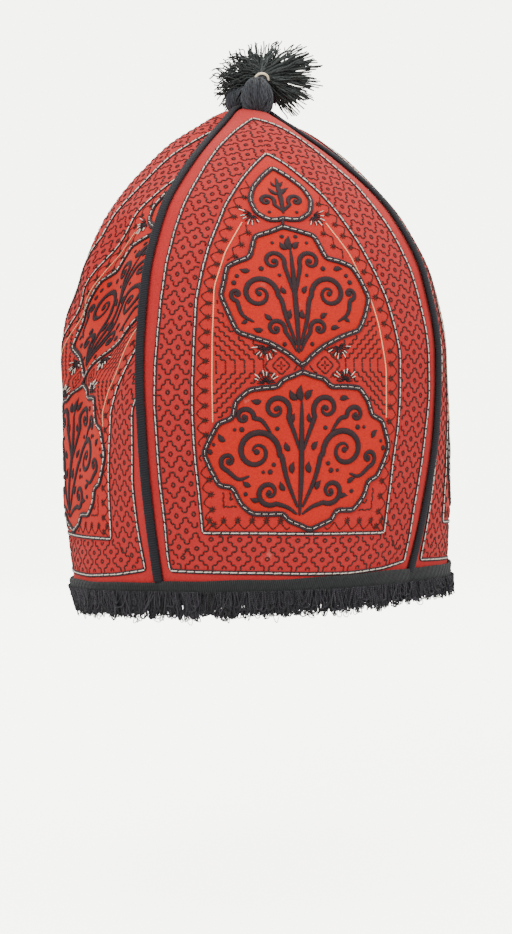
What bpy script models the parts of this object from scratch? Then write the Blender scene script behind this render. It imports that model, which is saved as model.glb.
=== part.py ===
"""Embroidered conical hat: four wool gores, seam braids, hem fringe and tip tassel.

Metres, +Z up. The origin is the middle of the head opening, in the plane of the hem.
The front gore faces -Y.
"""
import math

import bmesh
import bpy
import numpy as np
from mathutils import Vector

MM = 0.001
GAP = 0.3 * MM

# Crown: one row for each level, from the hem to the tip, in millimetres.
# Height above the hem, then the distance from the axis to a seam and to the middle of a gore.
CROWN_COLUMNS = ("height", "seam", "side")
CROWN_SECTIONS = (
    (0.0, 85.0, 91.0),
    (16.0, 88.0, 91.8),
    (35.0, 91.0, 92.6),
    (70.0, 95.5, 92.2),
    (103.0, 97.0, 91.8),
    (137.0, 91.5, 86.0),
    (168.0, 76.0, 73.5),
    (194.0, 50.5, 54.0),
    (207.0, 33.5, 40.5),
    (217.0, 19.0, 25.0),
    (224.0, 9.0, 12.0),
    (227.5, 0.0, 0.0),
)
TIP_HEIGHT = CROWN_SECTIONS[-1][0] * MM
WALL_THICKNESS = 2.0 * MM
ROWS_PER_SECTION = 2
GORE_COLUMNS = 10
NORMAL_LEVEL_STEP = 0.01
NORMAL_ACROSS_STEP = 0.02
LEVEL_HALVINGS = 40
FLAT_RISE = 1e-7
GORE_NAMES = ("gore_front", "gore_right", "gore_back", "gore_left")

# The front right seam has slipped towards the front, most at the hem
SLIPPED_SEAM = math.radians(-45.0)
SEAM_SLIP = math.radians(-8.0)
SLIP_HEIGHT = 90.0 * MM

# How far the worn crown's left stands out of its even shape, or in from it, in millimetres.
# One row for each height above the hem, one value for each angle about +Z in degrees.
SETTLED_HEIGHTS = (0.0, 40.0, 80.0, 120.0, 150.0, 175.0, 200.0, 227.5)
SETTLED_ANGLES = (115.0, 135.0, 152.0, 170.0, 187.0, 204.0, 225.0, 240.0)
SETTLED = (
    (0.0, 0.0, 0.0, 0.0, 0.0, 0.0, 0.0, 0.0),
    (0.0, 1.0, 1.0, 0.0, -4.0, -4.0, 1.0, 0.0),
    (0.0, 3.0, 1.0, -1.0, -8.5, -6.0, 0.0, 0.0),
    (0.0, 8.0, -1.0, -3.0, -7.5, -12.0, -2.0, 0.0),
    (0.0, 10.0, -4.0, -7.0, -3.0, -8.0, -2.0, 0.0),
    (0.0, 10.0, -5.0, -11.0, -3.0, -2.0, -1.0, 0.0),
    (0.0, 7.0, 0.0, -6.0, -1.0, 0.0, -1.0, 0.0),
    (0.0, 0.0, 0.0, 0.0, 0.0, 0.0, 0.0, 0.0),
)
SMALLEST_RADIUS = 8.0 * MM

# Seam braids: a flat oval braid over each seam
BRAID_HALF_WIDTH = 2.2 * MM
BRAID_HALF_THICKNESS = 1.1 * MM
BRAID_BOTTOM = 4.2 * MM
BRAID_TOP_RADIUS = 13.0 * MM
BRAID_SECTIONS = 26
BRAID_SIDES = 10
BRAID_TOP_STEP = 0.01
BRAID_NAMES = (
    "seam_braid_front_right",
    "seam_braid_back_right",
    "seam_braid_back_left",
    "seam_braid_front_left",
)

# Hem fringe: header tape round the outside of the hem, with locks of looped thread under it
TAPE_TOP = 3.5 * MM
TAPE_BOTTOM = -1.5 * MM
TAPE_THICKNESS = 1.5 * MM
TAPE_CLEARANCE = 0.55 * MM
LOCKS_PER_GORE = 14
LOCK_COLUMNS = ((0.0, 0.35), (0.28, 1.0), (0.72, 1.0))
FRINGE_LENGTH = 13.0 * MM
FRINGE_SIDE_CHANGE = 2.2 * MM
FRINGE_LOCK_CHANGE = 1.2 * MM
FRINGE_FLARE = 1.8 * MM
FRINGE_THICKNESS = 3.0 * MM
LOCK_RELIEF = 1.1 * MM
LOCK_SHOULDER = 1.5 * MM
LOCK_WIDEST = 0.7
SHORTEST_SHARE = 0.75
LOCK_UNEVEN_STEP = 2.4

# Tassel: places are in millimetres to the right, to the back and up from the tip.
# Its right and back are turned from the hat's by this angle.
TASSEL_TURN = math.radians(-14.3)
# Lobes of its head: right, back, up, half width, half height
TASSEL_LOBES = (
    (6.0, -8.0, 4.5, 6.5, 6.9),
    (-0.6, -2.0, 5.0, 3.7, 4.7),
    (-5.8, 1.0, 5.2, 4.5, 6.6),
)
TIE_FROM_TIP = (7.4, -4.3, 10.7)
NECK_LEAN = math.radians(50.0)
NECK_HALF_LENGTH = 5.0 * MM
NECK_RADIUS = 3.7 * MM
TIE_THREAD_RADIUS = 0.55 * MM
LOCK_ROOT_RADIUS = 2.6 * MM
LOCK_END_RADIUS = 5.0 * MM
LOCK_SIDES = 9
LOBE_SEGMENTS = 16
LOBE_RINGS = 10
NECK_SIDES = 16
TIE_SEGMENTS = 24
TIE_SIDES = 8
# Skirt locks: swing from upright to the right and lean to the back in degrees, length in millimetres
SKIRT_LOCKS = (
    (-114.0, 26.0, 26.0),
    (-90.0, 12.0, 25.0),
    (-64.0, 14.0, 23.0),
    (-32.0, 30.0, 20.0),
    (4.0, 34.0, 20.0),
    (36.0, 28.0, 21.0),
    (62.0, 14.0, 25.0),
    (86.0, 10.0, 26.0),
    (108.0, 24.0, 25.0),
    (134.0, 34.0, 22.0),
    (-100.0, 55.0, 20.0),
    (-45.0, 62.0, 19.0),
    (20.0, 70.0, 18.0),
    (70.0, 58.0, 20.0),
    (118.0, 62.0, 18.0),
)

# Edges that bend more than this are shaded sharp
SHARP_EDGE = math.radians(40.0)
BRAID_SHARP_EDGE = math.radians(60.0)

# Colours: red, green and blue as the shader takes them, then roughness
RED_WOOL = ((0.66, 0.055, 0.035), 0.95)
BLACK_BRAID = ((0.012, 0.013, 0.016), 0.85)
BLACK_THREAD = ((0.016, 0.016, 0.018), 0.8)
CREAM_THREAD = ((0.78, 0.66, 0.42), 0.8)


def column(table, names, name):
    """One named column of a table, in metres."""
    return np.array([row[names.index(name)] for row in table]) * MM


def smooth_value(values, place):
    """A smooth curve through evenly numbered values that never overshoots them."""
    steps = np.diff(values)
    slopes = np.zeros(len(values))
    same_way = steps[:-1] * steps[1:] > 0.0
    both = np.where(same_way, steps[:-1] + steps[1:], 1.0)
    slopes[1:-1] = np.where(same_way, 2.0 * steps[:-1] * steps[1:] / both, 0.0)
    slopes[0], slopes[-1] = steps[0], steps[-1]
    first = int(min(max(math.floor(place), 0), len(values) - 2))
    t = place - first
    return (
        values[first] * (1.0 + 2.0 * t) * (1.0 - t) ** 2
        + slopes[first] * t * (1.0 - t) ** 2
        + values[first + 1] * t * t * (3.0 - 2.0 * t)
        + slopes[first + 1] * t * t * (t - 1.0)
    )


HEIGHTS = column(CROWN_SECTIONS, CROWN_COLUMNS, "height")
SEAMS = column(CROWN_SECTIONS, CROWN_COLUMNS, "seam")
SIDES = column(CROWN_SECTIONS, CROWN_COLUMNS, "side")
LAST_LEVEL = len(CROWN_SECTIONS) - 1


def section_point(seam, side, across):
    """A point on the front gore's arc, for across from -1 at its left seam to 1 at its right."""
    half_chord = seam / math.sqrt(2.0)
    rise = side - half_chord
    if rise < FLAT_RISE:
        return Vector((0.0, 0.0, 0.0))
    radius = (half_chord**2 + rise**2) / (2.0 * rise)
    half_angle = math.atan2(half_chord, radius - rise)
    angle = half_angle * across
    return Vector((radius * math.sin(angle), -(radius * math.cos(angle) - radius + side), 0.0))


def crown_point(level, across, outward=0.0):
    """A point of the front gore's outer face; level counts the rows of the crown's table."""
    height = smooth_value(HEIGHTS, level)
    seam = smooth_value(SEAMS, level) + outward
    side = smooth_value(SIDES, level) + outward
    return section_point(seam, side, across) + Vector((0.0, 0.0, height))


def crown_normal(level, across):
    """The outward unit normal of the front gore's outer face."""
    low = max(level - NORMAL_LEVEL_STEP, 0.0)
    high = min(level + NORMAL_LEVEL_STEP, LAST_LEVEL - NORMAL_LEVEL_STEP)
    up = crown_point(high, across) - crown_point(low, across)
    right = crown_point(level, min(across + NORMAL_ACROSS_STEP, 1.0))
    right -= crown_point(level, max(across - NORMAL_ACROSS_STEP, -1.0))
    return right.cross(up).normalized()


def level_at_height(height):
    """The level of the crown's table that has this height."""
    low, high = 0.0, float(LAST_LEVEL)
    for _ in range(LEVEL_HALVINGS):
        middle = 0.5 * (low + high)
        if smooth_value(HEIGHTS, middle) < height:
            low = middle
        else:
            high = middle
    return low


def quarter_turn(point, quarters):
    """A point turned about +Z by some quarter turns, from the front gore to the next ones."""
    cosine = (1, 0, -1, 0)[quarters % 4]
    sine = (0, 1, 0, -1)[quarters % 4]
    return Vector((cosine * point.x - sine * point.y, sine * point.x + cosine * point.y, point.z))


def place_between(marks, value):
    """The number of the last mark below a value, and the eased share of the way to the next mark."""
    value = min(max(value, marks[0]), marks[-1])
    first = 0
    while first < len(marks) - 2 and marks[first + 1] < value:
        first += 1
    share = (value - marks[first]) / (marks[first + 1] - marks[first])
    return first, share * share * (3.0 - 2.0 * share)


def settled_by(angle, height):
    """How far the cloth at an angle and height stands out of the even crown."""
    row, up = place_between(SETTLED_HEIGHTS, height / MM)
    column, on = place_between(SETTLED_ANGLES, math.degrees(angle) % 360.0)
    low = SETTLED[row][column] * (1.0 - on) + SETTLED[row][column + 1] * on
    high = SETTLED[row + 1][column] * (1.0 - on) + SETTLED[row + 1][column + 1] * on
    return (low * (1.0 - up) + high * up) * MM


def worn(point):
    """A point of the even crown, moved to where the worn cap's cloth is.

    It stands out or in with the settled left side, and turns about +Z with the slipped seam.
    """
    angle = math.atan2(point.y, point.x)
    scale = 1.0 + settled_by(angle, point.z) / max(point.xy.length, SMALLEST_RADIUS)
    point = Vector((point.x * scale, point.y * scale, point.z))
    off_seam = angle - SLIPPED_SEAM
    beside = max(math.cos(off_seam), 0.0) ** 2
    below = min(max(1.0 - point.z / SLIP_HEIGHT, 0.0), 1.0) ** 2
    turn = SEAM_SLIP * beside * below
    cosine, sine = math.cos(turn), math.sin(turn)
    return Vector((cosine * point.x - sine * point.y, sine * point.x + cosine * point.y, point.z))


def principled(name, look):
    """A Principled material with one colour and roughness."""
    colour, roughness = look
    material = bpy.data.materials.new(name)
    material.use_nodes = True
    shader = material.node_tree.nodes["Principled BSDF"]
    shader.inputs["Base Color"].default_value = (*colour, 1.0)
    shader.inputs["Roughness"].default_value = roughness
    shader.inputs["Metallic"].default_value = 0.0
    material.diffuse_color = (*colour, 1.0)
    return material


def add_object(name, data, collection, look=None):
    """An object in a collection, with its own material when it has a look."""
    thing = bpy.data.objects.new(name, data)
    collection.objects.link(thing)
    if look is not None:
        data.materials.append(principled(name, look))
    return thing


def mesh_from(name, points, faces, sharp_angle=SHARP_EDGE):
    """A smooth-shaded mesh whose faces all point out."""
    mesh = bpy.data.meshes.new(name)
    mesh.from_pydata([tuple(p) for p in points], [], faces)
    work = bmesh.new()
    work.from_mesh(mesh)
    bmesh.ops.recalc_face_normals(work, faces=work.faces)
    work.to_mesh(mesh)
    work.free()
    mesh.shade_smooth()
    mesh.set_sharp_from_angle(angle=sharp_angle)
    return mesh


def inner_point(level, across):
    """The point of the gore's inner face behind a point of its outer face.

    On a seam it stays in the seam's plane, and on the hem it stays in the hem's plane.
    """
    normal = crown_normal(level, across)
    if level == 0.0:
        normal.z = 0.0
        normal.normalize()
    inward = normal.copy()
    if abs(across) == 1.0:
        seam_plane = Vector((1.0, across, 0.0)).normalized()
        inward -= inward.dot(seam_plane) * seam_plane
    return crown_point(level, across) - inward * (WALL_THICKNESS / inward.dot(normal))


def gore_mesh(name, quarters):
    """One gore: a closed wall lofted between its outer and inner faces."""
    levels = [i / ROWS_PER_SECTION for i in range(LAST_LEVEL * ROWS_PER_SECTION)]
    acrosses = [-1.0 + 2.0 * i / GORE_COLUMNS for i in range(GORE_COLUMNS + 1)]
    row_size = len(acrosses)
    outer = [crown_point(v, a) for v in levels for a in acrosses]
    inner = [inner_point(v, a) for v in levels for a in acrosses]
    tip = Vector((0.0, 0.0, TIP_HEIGHT))
    top_normal = crown_normal(levels[-1], 0.0)
    inner_tip = tip - Vector((0.0, 0.0, WALL_THICKNESS / top_normal.z))
    points = outer + [tip] + inner + [inner_tip]
    step = len(outer) + 1
    last = len(levels) - 1

    def face_rows(base, at_tip):
        faces = []
        for r in range(last):
            for c in range(GORE_COLUMNS):
                a = base + r * row_size + c
                faces.append((a, a + 1, a + 1 + row_size, a + row_size))
        for c in range(GORE_COLUMNS):
            a = base + last * row_size + c
            faces.append((a, a + 1, at_tip))
        return faces

    faces = face_rows(0, step - 1) + face_rows(step, 2 * step - 1)
    for c in range(GORE_COLUMNS):
        faces.append((c, c + 1, c + 1 + step, c + step))
    for c in (0, GORE_COLUMNS):
        edge = [r * row_size + c for r in range(last + 1)] + [step - 1]
        for a, b in zip(edge, edge[1:]):
            faces.append((a, b, b + step, a + step))
    clear_of_seam = Vector((0.0, -GAP / math.sqrt(2.0), 0.0))
    placed = [worn(quarter_turn(p + clear_of_seam, quarters)) for p in points]
    return mesh_from(name, placed, faces)


def build_gores(collection):
    """The four red wool gores, front, right, back and left."""
    for quarters, name in enumerate(GORE_NAMES):
        add_object(name, gore_mesh(name, quarters), collection, RED_WOOL)


def braid_standoff(normal, outward):
    """How far a braid's middle stands from its seam, to clear the gores on both sides of it."""
    facing = normal.dot(outward)
    aside = math.sqrt(max(1.0 - facing**2, 0.0))
    reach = math.hypot(BRAID_HALF_WIDTH * aside, BRAID_HALF_THICKNESS * facing)
    return (reach + GAP) / facing


def braid_rings():
    """Oval sections of the braid on the front gore's right seam, from the hem to the tip."""
    top = LAST_LEVEL
    while crown_point(top, 1.0).xy.length < BRAID_TOP_RADIUS:
        top -= BRAID_TOP_STEP
    bottom = level_at_height(BRAID_BOTTOM)
    across_seam = Vector((1.0, 1.0, 0.0)).normalized()
    rings = []
    for i in range(BRAID_SECTIONS):
        level = bottom + (top - bottom) * i / (BRAID_SECTIONS - 1)
        normal = crown_normal(level, 1.0)
        outward = (normal - normal.dot(across_seam) * across_seam).normalized()
        if i == 0:
            outward.z = 0.0
            outward.normalize()
        middle = crown_point(level, 1.0) + outward * braid_standoff(normal, outward)
        ring = []
        for j in range(BRAID_SIDES):
            angle = 2.0 * math.pi * j / BRAID_SIDES
            wide = across_seam * BRAID_HALF_WIDTH * math.cos(angle)
            thick = outward * BRAID_HALF_THICKNESS * math.sin(angle)
            ring.append(middle + wide + thick)
        rings.append(ring)
    return rings


def build_seam_braids(collection):
    """A flat braid over each seam, lofted through its oval sections."""
    rings = braid_rings()
    faces = [tuple(range(BRAID_SIDES))]
    for r in range(len(rings) - 1):
        for j in range(BRAID_SIDES):
            k = (j + 1) % BRAID_SIDES
            here, there = r * BRAID_SIDES, (r + 1) * BRAID_SIDES
            faces.append((here + j, here + k, there + k, there + j))
    faces.append(tuple((len(rings) - 1) * BRAID_SIDES + j for j in range(BRAID_SIDES)))
    for quarters, name in enumerate(BRAID_NAMES):
        points = [worn(quarter_turn(p, quarters)) for ring in rings for p in ring]
        add_object(name, mesh_from(name, points, faces, BRAID_SHARP_EDGE), collection, BLACK_BRAID)


def lock_length(quarters, lock):
    """How far a lock hangs below the hem: longer on the hat's left, and uneven from lock to lock."""
    turn = math.radians(90.0 * (quarters - 1) + 90.0 * (lock + 0.5) / LOCKS_PER_GORE - 45.0)
    uneven = math.sin(LOCK_UNEVEN_STEP * (quarters * LOCKS_PER_GORE + lock))
    return FRINGE_LENGTH - FRINGE_SIDE_CHANGE * math.cos(turn) + FRINGE_LOCK_CHANGE * uneven


def fringe_profile(length, fullness):
    """The fringe's section as (distance outside the crown's face, height) pairs."""
    inside = TAPE_CLEARANCE
    outside = inside + TAPE_THICKNESS
    relief = LOCK_RELIEF * fullness
    share = SHORTEST_SHARE + (1.0 - SHORTEST_SHARE) * fullness
    end = -(TAPE_TOP + (length - TAPE_TOP) * share)
    return (
        (inside, TAPE_TOP),
        (outside, TAPE_TOP),
        (outside, TAPE_BOTTOM),
        (outside + relief, TAPE_BOTTOM - LOCK_SHOULDER),
        (outside + FRINGE_FLARE + relief, LOCK_WIDEST * end),
        (outside + FRINGE_FLARE, end),
        (outside + FRINGE_FLARE - 0.5 * FRINGE_THICKNESS, end),
        (outside + FRINGE_FLARE - FRINGE_THICKNESS, LOCK_WIDEST * end),
        (inside, TAPE_BOTTOM),
    )


def build_hem_fringe(collection):
    """The header tape and its locks, as one ring lofted round the hem."""
    rings = []
    for quarters in range(4):
        for lock in range(LOCKS_PER_GORE):
            length = lock_length(quarters, lock)
            for along, fullness in LOCK_COLUMNS:
                across = -1.0 + 2.0 * (lock + along) / LOCKS_PER_GORE
                ring = []
                for outward, height in fringe_profile(length, fullness):
                    level = level_at_height(max(height, 0.0))
                    place = crown_point(level, across, outward)
                    place.z = height
                    ring.append(worn(quarter_turn(place, quarters)))
                rings.append(ring)
    size = len(rings[0])
    points = [p for ring in rings for p in ring]
    faces = []
    for r in range(len(rings)):
        here, there = r * size, ((r + 1) % len(rings)) * size
        for c in range(size):
            d = (c + 1) % size
            faces.append((here + c, here + d, there + d, there + c))
    add_object("hem_fringe", mesh_from("hem_fringe", points, faces), collection, BLACK_THREAD)


def from_tip(right, back, up):
    """A place of the tassel, from millimetres to the right, to the back and up from the tip."""
    cosine, sine = math.cos(TASSEL_TURN), math.sin(TASSEL_TURN)
    across = Vector((right * cosine - back * sine, right * sine + back * cosine, up))
    return across * MM + Vector((0.0, 0.0, TIP_HEIGHT))


def tassel_direction(right, back, up):
    """A unit direction in the tassel's right, back and up."""
    return (from_tip(right, back, up) - from_tip(0.0, 0.0, 0.0)).normalized()


def neck_axis():
    """The way the neck leans, up and to the back."""
    return tassel_direction(0.0, math.sin(NECK_LEAN), math.cos(NECK_LEAN))


def mesh_of(name, work):
    """A smooth-shaded mesh from a bmesh, which it frees."""
    mesh = bpy.data.meshes.new(name)
    work.to_mesh(mesh)
    work.free()
    mesh.shade_smooth()
    return mesh


def piece_of_tassel(name, work, pieces):
    """A hidden piece that the tassel's main lobe is joined with."""
    piece = add_object(name, mesh_of(name, work), pieces)
    piece.hide_render = True
    piece.display_type = "WIRE"
    return piece


def lobe_mesh(half_width, half_height):
    """One lobe of the head, an upright egg of bound thread."""
    work = bmesh.new()
    bmesh.ops.create_uvsphere(work, u_segments=LOBE_SEGMENTS, v_segments=LOBE_RINGS, radius=1.0)
    bmesh.ops.scale(work, vec=(half_width * MM, half_width * MM, half_height * MM), verts=work.verts)
    return work


def cone_mesh(root_radius, end_radius, length, sides):
    """A cone along +Z from the origin."""
    work = bmesh.new()
    bmesh.ops.create_cone(
        work, cap_ends=True, cap_tris=False, segments=sides,
        radius1=root_radius, radius2=end_radius, depth=length,
    )
    bmesh.ops.translate(work, vec=(0.0, 0.0, 0.5 * length), verts=work.verts)
    return work


def build_tassel(collection, pieces):
    """Head lobes, neck and skirt locks, joined into one body."""
    (right, back, up, half_width, half_height), *other_lobes = TASSEL_LOBES
    head = mesh_of("tassel", lobe_mesh(half_width, half_height))
    tassel = add_object("tassel", head, collection, BLACK_THREAD)
    tassel.location = from_tip(right, back, up)
    for number, (right, back, up, half_width, half_height) in enumerate(other_lobes):
        lobe = piece_of_tassel(f"tassel_lobe_{number}", lobe_mesh(half_width, half_height), pieces)
        lobe.location = from_tip(right, back, up)

    axis = neck_axis()
    tie = from_tip(*TIE_FROM_TIP)
    neck = piece_of_tassel(
        "tassel_neck", cone_mesh(NECK_RADIUS, NECK_RADIUS, 2.0 * NECK_HALF_LENGTH, NECK_SIDES), pieces
    )
    neck.location = tie - axis * NECK_HALF_LENGTH
    neck.rotation_euler = axis.to_track_quat("Z", "X").to_euler()

    root = tie + axis * NECK_HALF_LENGTH
    for number, (swing, lean, length) in enumerate(SKIRT_LOCKS):
        swing, lean = math.radians(swing), math.radians(lean)
        way = tassel_direction(
            math.sin(swing) * math.cos(lean), math.sin(lean), math.cos(swing) * math.cos(lean)
        )
        lock = piece_of_tassel(
            f"tassel_lock_{number}",
            cone_mesh(LOCK_ROOT_RADIUS, LOCK_END_RADIUS, length * MM, LOCK_SIDES),
            pieces,
        )
        lock.location = root
        lock.rotation_euler = way.to_track_quat("Z", "X").to_euler()

    union = tassel.modifiers.new("join", "BOOLEAN")
    union.operation = "UNION"
    union.solver = "EXACT"
    union.operand_type = "COLLECTION"
    union.collection = pieces


def build_tassel_tie(collection):
    """The cream thread round the tassel's neck."""
    bpy.ops.mesh.primitive_torus_add(
        major_segments=TIE_SEGMENTS, minor_segments=TIE_SIDES,
        major_radius=NECK_RADIUS + GAP + TIE_THREAD_RADIUS, minor_radius=TIE_THREAD_RADIUS,
    )
    tie = bpy.context.object
    tie.name = "tassel_tie"
    tie.data.shade_smooth()
    tie.data.materials.append(principled("tassel_tie", CREAM_THREAD))
    tie.location = from_tip(*TIE_FROM_TIP)
    tie.rotation_euler = neck_axis().to_track_quat("Z", "X").to_euler()
    for home in list(tie.users_collection):
        home.objects.unlink(tie)
    collection.objects.link(tie)


def new_collection(name):
    """A collection in the scene."""
    collection = bpy.data.collections.new(name)
    bpy.context.scene.collection.children.link(collection)
    return collection


def main():
    for thing in list(bpy.data.objects):
        bpy.data.objects.remove(thing, do_unlink=True)
    hat = new_collection("embroidered_conical_hat")
    tassel_pieces = new_collection("tassel_pieces")
    build_gores(hat)
    build_seam_braids(hat)
    build_hem_fringe(hat)
    build_tassel(hat, tassel_pieces)
    build_tassel_tie(hat)


main()
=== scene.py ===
import math

import bpy
import numpy as np
from mathutils import Matrix, Vector


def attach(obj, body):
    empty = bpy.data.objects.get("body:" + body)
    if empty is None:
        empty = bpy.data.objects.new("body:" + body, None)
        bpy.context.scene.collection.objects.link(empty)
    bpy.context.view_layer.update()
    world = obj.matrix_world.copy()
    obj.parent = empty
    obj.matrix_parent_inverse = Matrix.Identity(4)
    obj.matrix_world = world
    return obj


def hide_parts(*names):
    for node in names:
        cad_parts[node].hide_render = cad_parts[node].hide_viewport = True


# The looks of an embroidered conical hat of red wool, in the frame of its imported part.
# The design is drawn in millimetres on a gore: u to the right of its middle line, v up it from the hem.
MM = 0.001

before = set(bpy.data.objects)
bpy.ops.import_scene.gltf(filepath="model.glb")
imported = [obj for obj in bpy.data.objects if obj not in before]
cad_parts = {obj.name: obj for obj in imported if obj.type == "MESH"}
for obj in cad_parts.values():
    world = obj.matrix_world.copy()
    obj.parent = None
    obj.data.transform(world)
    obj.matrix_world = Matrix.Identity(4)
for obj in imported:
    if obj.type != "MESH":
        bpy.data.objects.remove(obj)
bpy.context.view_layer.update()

# The crown's rows, as in the part: height, then axis to seam and axis to the middle of a gore
CROWN_SECTIONS = np.array((
    (0.0, 85.0, 91.0),
    (16.0, 88.0, 91.8),
    (35.0, 91.0, 92.6),
    (70.0, 95.5, 92.2),
    (103.0, 97.0, 91.8),
    (137.0, 91.5, 86.0),
    (168.0, 76.0, 73.5),
    (194.0, 50.5, 54.0),
    (207.0, 33.5, 40.5),
    (217.0, 19.0, 25.0),
    (224.0, 9.0, 12.0),
    (227.5, 0.0, 0.0),
))
LAST_LEVEL = len(CROWN_SECTIONS) - 1
TIP_HEIGHT = 227.5
WALL_THICKNESS = 2.0
SEAM_GAP = 0.21
SEAM_MARGIN = 1.2
SLIPPED_SEAM = math.radians(-45.0)
SEAM_SLIP = math.radians(-8.0)
SLIP_HEIGHT = 90.0
# How far the worn crown's left stands out of its even shape, or in from it: as in the part, with a
# fuller shoulder and a closer hem, each a few millimetres
SETTLED_HEIGHTS = np.array((0.0, 40.0, 80.0, 120.0, 150.0, 175.0, 200.0, 227.5))
SETTLED_ANGLES = np.array((115.0, 135.0, 152.0, 170.0, 187.0, 204.0, 225.0, 240.0))
SETTLED = np.array((
    (0.0, 0.0, -1.0, -1.9, -1.3, 0.0, 0.0, 0.0),
    (0.0, 1.0, 1.0, 0.0, -4.0, -4.0, 1.0, 0.0),
    (0.0, 3.0, 1.0, -0.6, -8.5, -6.0, 0.0, 0.0),
    (0.0, 8.0, -0.5, 0.6, -6.0, -11.0, -2.0, 0.0),
    (0.0, 10.0, -2.5, -2.4, 0.6, -7.0, -2.0, 0.0),
    (0.0, 10.0, -3.5, -6.5, 0.8, -1.0, -1.0, 0.0),
    (0.0, 7.0, 0.0, -4.0, 0.0, 0.2, -1.0, 0.0),
    (0.0, 0.0, 0.0, 0.0, 0.0, 0.0, 0.0, 0.0),
))
SMALLEST_RADIUS = 8.0
GORES = ("front", "right", "back", "left")
SEAMS = ("front_right", "back_right", "back_left", "front_left")

# Cloth grid of a gore
CLOTH_ROWS = 120
CLOTH_COLUMNS = 60
# How deep the cloth dips along the outer and inner lines, the heart and the cartouches, and how wide
DIP_DEPTHS = (0.3, 0.34, 0.3, 0.36, 0.36)
DIP_WIDTH = 2.6
# How much of the brighter red shows inside the inner line, outside the ornament
INNER_GROUND = 0.45

# Lines of the embroidery, in millimetres on a gore
OUTER_LEFT = (
    (-63.9, 8.9), (-64.6, 14.0), (-65.0, 26.1), (-66.2, 43.7), (-66.9, 61.2), (-67.4, 80.0), (-66.9, 99.5),
    (-65.4, 114.0), (-63.2, 127.9), (-58.9, 145.5), (-53.3, 162.3), (-47.8, 175.2), (-42.4, 185.6),
    (-34.2, 200.0), (-26.0, 212.5), (-15.4, 226.5), (-3.5, 240.5),
)
OUTER_RIGHT = (
    (64.2, 9.0), (63.9, 18.6), (63.7, 29.5), (64.5, 48.0), (66.2, 65.5), (67.6, 83.6), (67.4, 101.0),
    (66.0, 115.0), (63.6, 128.5), (60.0, 142.8), (55.4, 156.0), (50.2, 167.5), (44.8, 178.0),
    (38.4, 191.0), (30.4, 202.4), (15.6, 220.6), (-3.5, 240.5),
)
OUTER_BOTTOM = ((-63.9, 8.9), (-48.5, 8.3), (-19.1, 7.4), (4.0, 6.4), (26.4, 5.8), (48.0, 6.9), (64.2, 9.0))
INNER_LEFT = (
    (-47.0, 25.4), (-48.4, 43.4), (-49.5, 57.3), (-50.2, 74.6), (-49.8, 90.0), (-48.6, 108.0), (-46.3, 127.0),
    (-42.9, 139.5), (-38.3, 152.6), (-28.6, 173.4), (-18.8, 188.2), (-11.1, 198.5), (-4.6, 206.3),
)
INNER_RIGHT = (
    (44.4, 22.8), (43.9, 38.0), (44.6, 54.5), (46.6, 70.0), (47.9, 84.3), (48.0, 102.1), (45.8, 114.0),
    (42.6, 126.2), (37.8, 139.0), (32.3, 151.0), (22.7, 170.0), (16.8, 179.0), (10.3, 188.4), (2.3, 199.0),
    (-4.6, 206.3),
)
INNER_BOTTOM = ((-47.0, 25.4), (-25.0, 24.9), (-6.1, 24.2), (20.0, 23.4), (44.4, 22.8))
HEART = (
    (-3.9, 195.6), (-9.5, 189.8), (-15.0, 182.5), (-17.4, 175.8), (-15.9, 168.4), (-10.9, 164.3),
    (-6.6, 164.2), (-4.3, 165.4), (-1.8, 164.4), (3.7, 164.6), (8.8, 168.4), (10.5, 175.2), (7.9, 182.5),
    (2.3, 189.6),
)
UPPER_CARTOUCHE = (
    (-4.9, 160.9), (2.2, 158.6), (8.9, 156.3), (11.0, 150.6), (13.0, 145.4), (19.4, 143.9), (25.4, 141.6),
    (28.9, 135.9), (32.6, 127.1), (29.8, 119.0), (26.3, 112.4), (17.4, 109.6), (8.7, 105.4), (3.2, 101.4),
    (-1.4, 96.7), (-8.0, 102.3), (-15.4, 106.9), (-22.6, 109.5), (-29.4, 112.0), (-32.5, 120.0),
    (-35.4, 128.6), (-33.4, 135.0), (-31.6, 142.0), (-26.6, 144.2), (-21.3, 145.9), (-19.6, 151.0),
    (-18.0, 156.1), (-11.6, 158.0),
)
BIG_CARTOUCHE = (
    (-1.7, 94.3), (3.6, 92.3), (8.7, 91.0), (11.2, 87.5), (18.0, 87.6), (25.2, 87.0), (29.6, 81.0),
    (31.5, 74.8), (36.9, 72.8), (41.4, 61.0), (38.6, 54.0), (35.6, 47.9), (30.7, 46.0), (29.4, 39.7),
    (24.3, 33.6), (15.4, 33.8), (13.6, 29.6), (9.2, 28.0), (3.2, 25.6), (-2.6, 28.2), (-7.4, 30.0),
    (-9.7, 33.0), (-17.0, 33.0), (-24.3, 33.4), (-29.3, 37.7), (-32.9, 45.0), (-39.0, 45.9),
    (-42.6, 53.0), (-45.6, 60.2), (-42.4, 66.6), (-38.9, 72.8), (-32.6, 74.9), (-31.1, 81.8),
    (-25.1, 86.9), (-18.6, 87.6), (-13.0, 87.8), (-9.9, 91.2), (-5.4, 92.6),
)
CREAM_LEFT = ((-22.6, 163.2), (-31.7, 148.7), (-37.9, 132.6), (-40.4, 108.9), (-41.1, 90.0), (-41.2, 73.4))
CREAM_RIGHT = ((15.6, 163.0), (25.4, 146.6), (32.5, 130.2), (36.6, 114.9), (39.6, 95.4), (39.3, 73.8))

# Short cords that join the heart to the upper cartouche, and that to the big one
SHAPE_LINKS = (((-4.4, 164.6), (-4.9, 161.6)), ((-1.5, 97.0), (-1.7, 94.0)))

# For each kind of thread on a gore, its material and its slot in the record
THREAD_LOOKS = {
    "black_cords": ("black_cord", "black_thread"),
    "white_threads": ("white_thread", "cream_thread"),
    "dark_stitches": ("dark_stitch", "black_thread"),
    "scrolls": ("satin", "black_thread"),
    "cream_threads": ("cream_thread", "cream_thread"),
}

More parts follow.
